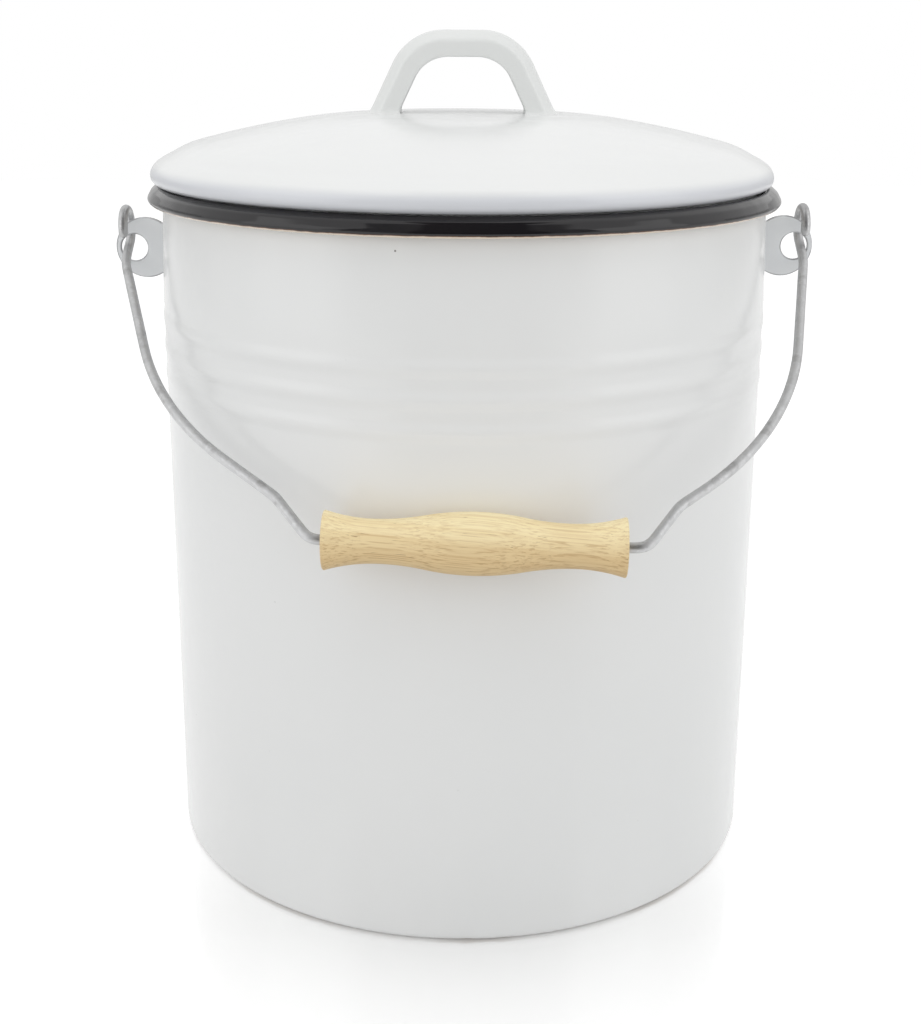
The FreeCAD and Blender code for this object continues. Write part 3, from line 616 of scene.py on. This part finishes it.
def wire_path():
    """The bow as an even, eased line, with a hook of part of a circle in the plane of the hinge before and
    after it."""
    bow = even(bent_line(left_bow + right_bow, bend_radii + bend_radii[::-1], 24), PATH_STEP)
    inner = eased(bow, 5)
    inner[[0, -1]] = bow[[0, -1]]
    bow = np.stack([inner[:, 0], np.full(len(inner), RING), inner[:, 1]], -1)
    turn = np.radians(np.linspace(0, HOOK_TURN, HOOK_POINTS))[1:]
    hook = np.stack([0 * turn, RING * np.cos(turn), RING * np.sin(turn)], -1)
    left, right = hook[::-1] + [-HOOK_X, 0, 0], hook + [HOOK_X, 0, 0]
    return np.concatenate([left, bow, right]), len(left), len(right)


def unit(vectors):
    """Each vector divided by its length."""
    return vectors / np.linalg.norm(vectors, axis=-1, keepdims=True)


# %% Wire surface
def carried_wire():
    """Points p + r (cos b n + sin b m) for each place p on the path, where n and m are square to the path
    and r shrinks over the last fraction of a millimetre into a cut end."""
    path, left, right = wire_path()
    way = unit(np.gradient(path, axis=0))
    reference = np.tile([0.0, 1.0, 0.0], (len(path), 1))
    side_reference = np.tile([1.0, 0.0, 0.0], (len(path), 1))
    side_reference[len(path) // 2:] *= -1
    hook = np.zeros(len(path), bool)
    hook[:left + 8], hook[-right - 8:] = True, True
    second = np.where(hook[:, None], side_reference, np.cross(way, reference))
    second = unit(second - (second * way).sum(1, keepdims=True) * way)
    first = np.cross(second, way)
    radius = np.full(len(path), WIRE)
    rows = np.arange(len(path))
    radius += UNEVEN * np.sin(rows * 0.11) * np.sin(rows * 0.043 + 1)
    for offset, share in ((0, 0.72), (1, 0.93)):
        radius[offset], radius[-1 - offset] = WIRE * share, WIRE * share
    turn = np.linspace(0, 2 * np.pi, 28, endpoint=False)[None, :, None]
    ring = np.cos(turn) * first[:, None] + np.sin(turn) * second[:, None]
    local = path[:, None] + radius[:, None, None] * ring
    pivot = np.array(joints["bail_swing"]["pos_m"]) / MM
    return pivot + local @ bail_axes()


def galvanised():
    """Dull zinc: a metal whose tone and gloss change from one crystal to the next."""
    finish = Finish("galvanised_zinc", Metallic=1.0)
    cells = finish.add("ShaderNodeTexVoronoi", {"Vector": finish.place, "Scale": 420.0})
    crystal = finish.axes(cells.outputs["Color"])[0]
    streak = finish.noise(900.0, 4.0, 0.65)
    colour = finish.mix(crystal, (0.50, 0.505, 0.51, 1), (0.61, 0.615, 0.62, 1))
    colour = finish.mix(finish.ease(streak, 0.35, 0.7), colour, (0.58, 0.58, 0.58, 1))
    grime = finish.ease(finish.noise(140.0, 3.0), 0.52, 0.7, 0.0, 0.4)
    colour = finish.mix(grime, colour, (0.27, 0.265, 0.26, 1))
    gloss = finish.ease(streak, 0.3, 0.7, 0.38, 0.58)
    coarse = finish.bump(finish.noise(380.0, 2.0), 0.0001, 0.5)
    finish.set(Base_Color=colour, Roughness=gloss, Normal=finish.bump(streak, 0.00008, 0.5, coarse))
    return finish.material


carrying_wire = skin("carrying_wire", (carried_wire(), False))
stands_for(carrying_wire, "bail_wire", "bail", galvanised())

# %% [markdown]
# ## The grip
#
# A turner makes the grip from a stick of pale oak: flared ends that stop the hand, two waists and a belly
# that fills the palm, with a bore for the wire. It turns freely on it. Its surface is a lathe form about its
# own axis, which the joint in the record gives. Its finish matters most: oak is a solid, so its year rings
# are slices through a 3-D pattern, with lengthwise fibres and short dark pores.

# %% Grip surface
GRIP_LENGTH, END_RADIUS, WAIST_RADIUS, BELLY_RADIUS, WAIST_INSET = 111.0, 11.3, 8.25, 11.75, 19.2
BORE, GRIP_EDGE = 2.25, 0.7
BORE_MOUTH = [(4.5, 0), (1.6, 0), (0.55, -0.08), (0.15, -0.35), (0, -0.9)]


def grip_outside(from_middle):
    """Radius of the grip: a circle rises from the waist to the end, and two equal arcs, one hollow and one
    full, meet half way between the waist and the belly."""
    far = np.abs(from_middle)
    waist = GRIP_LENGTH / 2 - WAIST_INSET
    flare, swell = END_RADIUS - WAIST_RADIUS, BELLY_RADIUS - WAIST_RADIUS
    flare_arc = (WAIST_INSET ** 2 + flare ** 2) / (2 * flare)
    belly_arc = (waist ** 2 + swell ** 2) / (4 * swell)
    end = WAIST_RADIUS + flare_arc - np.sqrt(flare_arc ** 2 - (far - waist) ** 2)
    hollow = WAIST_RADIUS + belly_arc - np.sqrt(belly_arc ** 2 - (far - waist) ** 2)
    full = BELLY_RADIUS - belly_arc + np.sqrt(belly_arc ** 2 - far ** 2)
    return np.where(far > waist, end, np.where(far > waist / 2, hollow, full))


def grip_outline():
    """Out along the surface, round each end's edge, and back through the bore, whose mouths are eased."""
    half = GRIP_LENGTH / 2
    along = np.linspace(-half + GRIP_EDGE, half - GRIP_EDGE, 150)
    outside = np.stack([grip_outside(along), along], -1)
    end = arc([outside[-1, 0] - GRIP_EDGE, half - GRIP_EDGE], GRIP_EDGE, 0, 90, 6)[1:]
    mouth = [BORE, half] + np.array(BORE_MOUTH)
    right = np.concatenate([end, mouth])
    left = right[::-1] * [1, -1]
    bore = np.stack([np.full(20, BORE), np.linspace(half - 4, -half + 4, 20)], -1)
    return np.concatenate([outside, right, bore, left])


grip_joint = joints["grip_spin"]
grip_middle = np.array(grip_joint["pos_m"]) / MM
grip_way = unit(np.array(grip_joint["axis"]))
grip_up = unit(np.array([0, 0, 1.0]) - grip_way[2] * grip_way)
grip_back = np.cross(grip_up, grip_way)


def turned_grip_grid(turns=96):
    """The outline (radius, along) carried round the grip's axis: along * way + radius * ring."""
    outline = grip_outline()
    turn = np.linspace(0, 2 * np.pi, turns, endpoint=False)[None, :, None]
    ring = np.cos(turn) * grip_up + np.sin(turn) * grip_back
    return grip_middle + outline[:, None, 1:] * grip_way + outline[:, None, :1] * ring


# %% [markdown]
# Oak, in five layers: broad year rings, fine fibres, long lines, pores and a waxy finish. The grip's lower
# side is painted browner, with darker streaks, and its upper side paler: painted shade and painted light.
# The pattern's origin is moved to the middle of the grip, and a Mapping node turns its first axis along the
# grip. A second one leans it a little, because a stick is seldom sawn quite along its grain. Where the
# turned surface slopes, it cuts across the fibres.

# %% Oak
GRAIN_LEAN = (0.35, -0.065, 0.02)
FIBRE, LINE, PORE = (0.70, 0.50, 0.26, 1), (0.54, 0.34, 0.15, 1), (0.40, 0.25, 0.12, 1)


def pale_oak():
    """Each layer is a noise or a wave, long along the grip and fine across it, that mixes in its colour."""
    finish = Finish("pale_oak", IOR=1.45)
    turned = Matrix([grip_way, grip_back, grip_up]).to_euler()
    from_middle = {0: finish.place, 1: Vector(grip_middle * MM)}
    moved = finish.add("ShaderNodeVectorMath", from_middle, operation="SUBTRACT")
    local = finish.add("ShaderNodeMapping", {"Vector": moved.outputs[0], "Rotation": turned}).outputs[0]

    leaning = finish.add("ShaderNodeMapping", {"Vector": local, "Rotation": GRAIN_LEAN}).outputs[0]

    def stretched(along, across):
        """Place in the leaning stick, multiplied by one number along it and another across it."""
        inputs = {"Vector": leaning, "Scale": (along, across, across)}
        return finish.add("ShaderNodeMapping", inputs).outputs[0]

    ring_inputs = {"Vector": stretched(3.0, 62.0), "Scale": 1.0, "Distortion": 0.9, "Detail": 3.0,
                   "Detail Scale": 1.2}
    rings = finish.add("ShaderNodeTexWave", ring_inputs, wave_type="BANDS", bands_direction="Z",
                       wave_profile="SAW").outputs["Fac"]
    fibre = finish.noise(1.0, 6.0, 0.7, stretched(8.0, 950.0))
    lines = finish.noise(1.0, 2.0, 0.6, stretched(4.5, 1500.0))
    broad = finish.noise(1.0, 3.0, 0.5, stretched(5.0, 150.0))
    pores = finish.noise(1.0, 2.0, 0.5, stretched(60.0, 1900.0))
    # Painted shade and light: the grip's lower side is browner and its streaks darker, and its upper side is
    # paler.
    underside_shade = finish.ease(finish.axes(local)[2], -0.005, 0.012, 1.0, 0.0)
    early = finish.mix(underside_shade, (0.98, 0.855, 0.53, 1), (0.85, 0.64, 0.345, 1))
    late = finish.mix(underside_shade, (0.92, 0.765, 0.44, 1), (0.75, 0.53, 0.265, 1))
    colour = finish.mix(finish.ease(rings, 0.1, 0.95, 0.0, 0.7), early, late)
    colour = finish.mix(finish.ease(broad, 0.35, 0.65), colour, early)
    colour = finish.mix(finish.ease(fibre, 0.42, 0.66, 0.0, 0.42), colour, FIBRE)
    darker = finish.math("MULTIPLY_ADD", underside_shade, 0.4, 0.22)
    streaks = finish.math("MULTIPLY", finish.ease(lines, 0.52, 0.64), darker)
    colour = finish.mix(streaks, colour, LINE)
    dark = finish.math("MULTIPLY", finish.ease(pores, 0.65, 0.74), finish.ease(rings, 0.25, 0.8, 0.3, 0.75))
    colour = finish.mix(dark, colour, PORE)
    wax = finish.ease(fibre, 0.3, 0.7, 0.42, 0.6)
    grain = finish.bump(fibre, 0.0001, 0.6)
    relief = finish.bump(finish.math("SUBTRACT", 1.0, dark), 0.0001, 0.5, grain)
    finish.set(Base_Color=colour, Roughness=wax, Normal=relief)
    return finish.material


turned_grip = skin("turned_grip", (turned_grip_grid(), True))
stands_for(turned_grip, "bail_grip", "grip", pale_oak())

# %% [markdown]
# ## The lid
#
# The lid is spun from one disc: a shallow dome that is pressed flat in its middle, a soft step, a rounded
# lip that overhangs, and an edge that is turned in under the lip and rests on the rim. Its profile is a
# line that starts beside the axis. The bends at the step are eased widely, and those of the lip only a
# little. Under it a ring is welded that drops into the mouth and keeps the lid in place.

# %% Lid
LID_RADIUS, LIP_HEIGHT, LIP_ROUND, LIP_HEM = 131.9, 10.8, 7.5, 1.8
STEP_WIDTH, STEP_HEIGHT, DOME_RISE = 5.0, 3.8, 16.3
DOME_RADIUS = LID_RADIUS - LIP_ROUND - STEP_WIDTH
DOME_BALL = (DOME_RADIUS ** 2 + DOME_RISE ** 2) / (2 * DOME_RISE)
FLAT_RADIUS, FLAT_BEND = 50.0, 1.0
DOME_ROWS, DOME_KEPT, STEP_END, EASE_CHANGE = 60, 52, 60, 12
WIDE_EASE, SLIGHT_EASE = 16, 3
lid_foot = LID_TOP - DOME_RISE - STEP_HEIGHT - LIP_HEIGHT


def dome_height(radius):
    """Height of the dome at a distance r from the lid's axis: part of a ball, pressed flat under the handle.
    The two heights a and b are joined by -s log(e^(-a / s) + e^(-b / s)), a minimum with a soft bend."""
    ball = np.sqrt(DOME_BALL ** 2 - radius ** 2) - DOME_BALL
    flat = np.sqrt(DOME_BALL ** 2 - FLAT_RADIUS ** 2) - DOME_BALL
    return LID_TOP - FLAT_BEND * np.log(np.exp(-ball / FLAT_BEND) + np.exp(-flat / FLAT_BEND))


def lid_line():
    """Middle of the sheet: dome, step, lip and hem, half a sheet inside the outer surface."""
    radius = np.linspace(0.6, DOME_RADIUS - 2.5, DOME_ROWS)
    half = SHEET / 2
    dome = np.stack([radius * (1 - half / DOME_BALL), dome_height(radius) - half], -1)
    lip_top = lid_foot + LIP_HEIGHT - half
    band = LIP_HEIGHT - LIP_ROUND
    lip = arc([LID_RADIUS - LIP_ROUND, lid_foot + band], LIP_ROUND - half, 72, 0, 18)
    hem = arc([LID_RADIUS - band, lid_foot + band], band - half, 0, -90, 12)[1:]
    end = np.array([[LID_RADIUS - band - LIP_HEM + half, lid_foot + half]])
    step = np.array([[DOME_RADIUS + 1.2, lid_foot + LIP_HEIGHT + STEP_HEIGHT - half - 1.1],
                     [LID_RADIUS - LIP_ROUND - 0.6, lip_top + 0.25]])
    line = np.concatenate([dome, step, lip, hem, end])
    close = even(line[DOME_KEPT:], 0.45)
    share = np.clip((np.arange(len(close)) - STEP_END) / EASE_CHANGE, 0, 1)[:, None]
    bends = eased(close, WIDE_EASE) * (1 - share) + eased(close, SLIGHT_EASE) * share
    return np.concatenate([dome[:DOME_KEPT], bends])


# The lid's lip gets the painted shade up to 7.3 mm above its foot.
lid_enamel = white_enamel("white_enamel_lid", shade_below=(lid_foot + 7.3) * MM)
lid_grid = lathe(sheet_outline(lid_line(), SHEET, start_cap=False), lid_middle)
domed_lid = skin("domed_lid", (lid_grid, False))
stands_for(domed_lid, "lid_shell", "lid", lid_enamel)

# %% [markdown]
# The ring under the lid is a plain strip, rolled and welded, with its lower edge rounded by the glaze.

# %% Lid ring
COLLAR_GAP, COLLAR_DEPTH, COLLAR_WELD, COLLAR_ROWS = 1.6, 8.0, 0.5, 22
COLLAR_TAPER, COLLAR_DRAW = 4.0, 0.5


def collar_line():
    """Middle of the strip: upright, and drawn in near its lower edge by COLLAR_DRAW * s^2, where s rises
    from 0 to 1 over COLLAR_TAPER."""
    radius = MOUTH - SHEET - COLLAR_GAP - SHEET / 2
    low, high = lid_foot - COLLAR_DEPTH + SHEET / 2, lid_foot + LIP_HEIGHT - SHEET - COLLAR_WELD
    heights = np.linspace(low, high, COLLAR_ROWS)
    taper_start = lid_foot - COLLAR_DEPTH + COLLAR_TAPER
    draw_in = COLLAR_DRAW * np.clip((taper_start - heights) / COLLAR_TAPER, 0, 1) ** 2
    return np.stack([radius - draw_in, heights], -1)


lid_ring = skin("lid_ring", (lathe(sheet_outline(collar_line(), SHEET), lid_middle), True))
stands_for(lid_ring, "lid_collar", "lid", inner_enamel)

# %% [markdown]
# ## The lid's handle
#
# The handle is a pressed arch, open underneath like a channel: a crowned top and two flanges that reach
# down. It stands on the dome, and glaze runs out round its feet in a small fillet. Two lines, the outer and
# the inner side of the arch, are divided in the same way, and the channel's section is stretched between
# them. In the legs every line of the surface is straight, so each is cut exactly where it meets the dome.

# %% Handle arch and channel section
HANDLE_HEIGHT, HANDLE_BAR, HANDLE_DEPTH, HANDLE_WALL = 30.8, 10.8, 20.0, 1.5
SHOULDER_HALF, SHOULDER_INSET, CROWN = 23.0, 7.0, 4.4
LEG_SPLAY, BEND, INNER_BEND = 26.0, 24.0, 16.0
LEG_ROWS, BEND_ROWS, TOP_ROWS = 34, 26, 16
REFERENCE_DEPTH = 12.0           # depth for which the channel is drawn
FOOT_SWELL, FOOT_REACH = 1.3, 1.0


def arch_side(top, corner, bend):
    """Leg, bend, top, bend and leg of one side of the arch. Both sides get the same number of points."""
    low = LID_TOP - DOME_RISE
    foot = corner + (top - low) * np.tan(np.radians(LEG_SPLAY))
    corners = np.array([(-foot, low), (-corner, top), (corner, top), (foot, low)])
    first = tangent_arc(*corners[:3], bend, BEND_ROWS)
    second = tangent_arc(*corners[1:], bend, BEND_ROWS)

    def run(start, end, count):
        """Points between the two ends of a straight run, without the ends."""
        return start + np.linspace(0, 1, count + 2)[1:-1, None] * (end - start)

    left, right = run(corners[0], first[0], LEG_ROWS), run(second[-1], corners[3], LEG_ROWS)
    crown = run(first[-1], second[0], TOP_ROWS)
    return np.concatenate([corners[:1], left, first, crown, second, right, corners[3:]])


def channel():
    """Outline of the channel as (across, inwards from the outer side), for the reference depth."""
    half, top = HANDLE_DEPTH / 2 - HANDLE_WALL / 2, HANDLE_WALL / 2
    edge = REFERENCE_DEPTH - HANDLE_WALL / 2
    left = [(-half, edge), (-half, CROWN), (-half + CROWN, top)]
    corners = left + [(-across, down) for across, down in left[::-1]]
    line = bent_line(corners, [1.4, 4.5, 4.5, 1.4], 9)
    return sheet_outline(even(line, 0.5), HANDLE_WALL)


# %% Handle surface
def handle_grid():
    """Rows of channel sections. Depth d of the section runs from the outer side O to the inner side I, as
    O + (I - O) d / |I - O|, and beyond the crown it is stretched to fit. The leg's rows are then moved so
    that the first lies on the dome, and the glaze swells there by FOOT_SWELL * exp(-h / FOOT_REACH)."""
    top = LID_TOP + HANDLE_HEIGHT
    outer = arch_side(top, SHOULDER_HALF, BEND)
    inner = arch_side(top - HANDLE_BAR, SHOULDER_HALF - SHOULDER_INSET, INNER_BEND)
    outline = channel()
    normal, _ = sideways(np.concatenate([outline[-1:], outline, outline[:1]]))
    normal = normal[1:-1]
    gap = inner - outer
    depth = np.linalg.norm(gap, axis=1, keepdims=True)
    inward = gap / depth
    across, down = outline[:, 0], outline[:, 1]
    below = CROWN + (down - CROWN) * (depth - CROWN) / (REFERENCE_DEPTH - CROWN)
    stretched = np.where(down > CROWN, below, down)
    flat = outer[:, None] + stretched[..., None] * inward[:, None]
    grid = np.stack([flat[..., 0], np.broadcast_to(across, flat.shape[:2]), flat[..., 1]], -1)
    for rows in (np.arange(LEG_ROWS + 2), -1 - np.arange(LEG_ROWS + 2)):
        low, high = grid[rows[0]], grid[rows[-1]]
        share = np.zeros(len(across))
        for _ in range(6):
            point = low + share[:, None] * (high - low)
            share -= (point[:, 2] - dome_height(np.hypot(point[:, 0], point[:, 1]))) / (high - low)[:, 2]
        spread = np.linspace(0, 1, len(rows))[:, None] ** 2.2
        part = share + (1 - share) * spread
        leg = low + part[..., None] * (high - low)
        above = np.linalg.norm(leg - leg[0], axis=-1)
        swell = FOOT_SWELL * np.exp(-above / FOOT_REACH)
        level_x = normal[:, 1] * inward[rows[0], 0]
        outward = np.stack([level_x, normal[:, 0], 0 * level_x], -1)
        grid[rows] = leg + swell[..., None] * outward
    return grid + [lid_middle[0], lid_middle[1], 0]


lid_strap = skin("lid_strap", (handle_grid(), False))
# The handle's white is darker all over, a painted shade.
handle_enamel = white_enamel("white_enamel_handle", tones=(SHADED_WHITE, SHADED_COOL_WHITE))
stands_for(lid_strap, "lid_handle", "lid", handle_enamel)

# %% [markdown]
# ## Floor, world and lamps
#
# The pail stands on a pale floor in a white studio. What the camera and any reflection see of the world is
# plain white. The light that falls on the pail is softer and comes from all round, as in a light tent, a
# little more from the front than from the back. The floor shows the pail's shadow. In front of the pail it
# is polished, and shows a faint reflection that fades with the distance from the wall.

# %% Floor
def show_white(nodes):
    """1 for a ray from the camera or from a glossy or clear surface, and otherwise 0."""
    rays = nodes.add("ShaderNodeLightPath").outputs
    seen = nodes.math("MAXIMUM", rays["Is Camera Ray"], rays["Is Glossy Ray"])
    return nodes.math("MAXIMUM", seen, rays["Is Transmission Ray"])


FLOOR_GREY, FLOOR_GLOW = 0.70, 0.56
POLISH, POLISH_FADE, POLISH_START, POLISH_ROUGHNESS = 0.62, -9.0, 0.13, 0.07
POLISH_FRONT, POLISH_END = -0.12, 0.0        # from the front of the pail to its middle, the polish runs out


def floor_finish():
    """Matte floor with a white glow, mixed with a mirror by POLISH * exp(POLISH_FADE * d), where d is the
    distance beyond POLISH_START from the origin, and less beside the pail, with none behind it."""
    finish = Finish("pale_floor")
    x, y = finish.axes(finish.place)[:2]
    squares = finish.math("ADD", finish.math("POWER", x, 2.0), finish.math("POWER", y, 2.0))
    from_axis = finish.math("SQRT", squares)
    beyond = finish.math("MAXIMUM", finish.math("SUBTRACT", from_axis, POLISH_START), 0.0)
    in_front = finish.ease(y, POLISH_FRONT, POLISH_END, POLISH, 0.0)
    fading = finish.math("EXPONENT", finish.math("MULTIPLY", beyond, POLISH_FADE))
    fade = finish.math("MULTIPLY", fading, in_front)
    matte = finish.add("ShaderNodeBsdfDiffuse", {"Color": (FLOOR_GREY, FLOOR_GREY, FLOOR_GREY, 1)})
    strength = finish.math("MULTIPLY", show_white(finish), FLOOR_GLOW)
    glow = finish.add("ShaderNodeEmission", {"Color": (1, 1, 1, 1), "Strength": strength})
    base = finish.add("ShaderNodeAddShader", {0: matte.outputs[0], 1: glow.outputs[0]})
    mirror = finish.add("ShaderNodeBsdfGlossy", {"Color": (1, 1, 1, 1), "Roughness": POLISH_ROUGHNESS})
    mixed = finish.add("ShaderNodeMixShader", {0: fade, 1: base.outputs[0], 2: mirror.outputs[0]})
    output = next(node for node in finish.tree.nodes if node.type == "OUTPUT_MATERIAL")
    finish.tree.nodes.remove(finish.shader)
    finish.feed(mixed.outputs[0], output.inputs["Surface"])
    return finish.material


FLOOR_HALF, FLOOR_LEVEL = 3.0, -0.00005      # metres; just under the foot, so that the two don't mix
signs = ((-1, -1), (1, -1), (1, 1), (-1, 1))
floor_corners = [(x * FLOOR_HALF, y * FLOOR_HALF, FLOOR_LEVEL) for x, y in signs]
floor_mesh = bpy.data.meshes.new("studio_floor")
floor_mesh.from_pydata(floor_corners, [], [(0, 1, 2, 3)])
floor_mesh.materials.append(floor_finish())
placed("studio_floor", floor_mesh)
print(f"floor: {2 * FLOOR_HALF} m square, grey {FLOOR_GREY}")

# %% World and lamps
TENT_FRONT, TENT_BACK = 0.86, 0.68           # strength of the light from the front and from the back
TARGET = (0, 0, 0.18)
scene = bpy.context.scene
world = bpy.data.worlds.new("white_studio")
scene.world = world
world.use_nodes = True
nodes = Nodes(world.node_tree)
direction = nodes.axes(nodes.add("ShaderNodeTexCoord").outputs["Generated"])
tent = nodes.ease(direction[1], -0.9, 0.1, TENT_FRONT, TENT_BACK)
level = nodes.add("ShaderNodeMix", {0: show_white(nodes), 2: tent, 3: 1.0}).outputs[0]
background = world.node_tree.nodes["Background"].inputs
background["Color"].default_value = (1, 1, 1, 1)
nodes.feed(level, background["Strength"])


def area_lamp(name, place, size, watts):
    """A rectangular lamp that faces the middle of the pail."""
    data = bpy.data.lights.new(name, "AREA")
    data.shape, data.size, data.size_y, data.energy = "RECTANGLE", size[0], size[1], watts
    lamp = placed(name, data)
    lamp.location = place
    lamp.rotation_euler = (Vector(TARGET) - Vector(place)).to_track_quat("-Z", "Y").to_euler()
    return lamp


overhead = area_lamp("overhead_soft_box", (0, -0.4, 1.5), (1.2, 0.8), 3.0)
overhead.visible_glossy = False
for label, side in (("left", -1), ("right", 1)):
    area_lamp(f"{label}_soft_box", (side * 1.4, -0.7, 0.7), (1.0, 1.4), 2.5)
print("lamps:", sorted(lamp.name for lamp in bpy.data.lights))

# %% [markdown]
# Gloss needs something to mirror. A dark card with grey wings behind the camera, and a low pale screen round
# the back and the sides, give the white enamel and the black rim their soft edges. The dark card starts on
# the floor and bends over into a roof. All are seen by glossy rays only, so they take no light away.

# %% Cards that only reflections see
CARD_X, CARD_Y, CARD_TOP, CARD_REACH, CARD_ROOF_Y = (-0.42, 0.66), -1.25, 2.2, 0.5, -0.1
CARD_FOOT = 0.01
WINGS_X, WINGS_Y = (-1.1, 1.3), -1.3


def reflected_card(name, points, grey):
    """A strip of quads, each between two pairs of points, that only glossy rays see."""
    mesh = bpy.data.meshes.new(name)
    mesh.from_pydata(points, [], [(i, i + 1, i + 3, i + 2) for i in range(0, len(points) - 2, 2)])
    mesh.materials.append(Finish(name, Base_Color=(grey, grey, grey, 1), Roughness=0.9).material)
    card = placed(name, mesh)
    card.visible_camera = card.visible_diffuse = card.visible_transmission = card.visible_shadow = False
    print(f"{name}: {len(mesh.polygons)} quads, grey {grey}")


card_side = [(CARD_Y + CARD_REACH, CARD_FOOT), (CARD_Y, CARD_FOOT), (CARD_Y, CARD_TOP),
             (CARD_ROOF_Y, CARD_TOP)]
reflected_card("dark_card", [(x, y, z) for y, z in card_side for x in CARD_X], 0.04)
reflected_card("grey_wings", [(x, WINGS_Y, z) for x in WINGS_X for z in (CARD_FOOT, CARD_TOP)], 0.4)
SCREEN_HALF, SCREEN_FRONT, SCREEN_BACK, SCREEN_TOP = 1.8, 0.3, 2.0, 0.7
screen_line = [(-SCREEN_HALF, SCREEN_FRONT), (-SCREEN_HALF, SCREEN_BACK), (SCREEN_HALF, SCREEN_BACK),
               (SCREEN_HALF, SCREEN_FRONT)]
reflected_card("grey_screen", [(x, y, z) for x, y in screen_line for z in (CARD_FOOT, SCREEN_TOP)], 0.95)

# %% [markdown]
# ## Camera
#
# The camera stands in front of the pail and looks down on it a little, from close by, so the ribs and the
# foot are seen as flat curves. Its frame is 921 by 1024. A hair of roll tilts the view, as it does when a
# camera is held by hand.

# %% Camera
CAMERA_PLACE = Vector((0, -0.649985, 0.3541125))
PITCH, ROLL = 0.3119, 0.006                  # radians: looking down, and the right side up
SENSOR, LENS, SHIFT = 36.0, 52.713, -0.00198
forward = Vector((0, np.cos(PITCH), -np.sin(PITCH)))
upward = Vector((0, np.sin(PITCH), np.cos(PITCH)))
right = Vector((1, 0, 0))
camera_right = right * np.cos(ROLL) + upward * np.sin(ROLL)
camera_up = upward * np.cos(ROLL) - right * np.sin(ROLL)
camera_data = bpy.data.cameras.new("studio_camera")
camera_data.sensor_width, camera_data.lens, camera_data.shift_x = SENSOR, LENS, SHIFT
camera = placed("studio_camera", camera_data)
turned = Matrix([camera_right, camera_up, -forward]).transposed().to_4x4()
camera.matrix_world = Matrix.Translation(CAMERA_PLACE) @ turned
scene.camera = camera
scene.view_settings.view_transform = "Standard"
print("camera at", CAMERA_PLACE[:], "lens", LENS)
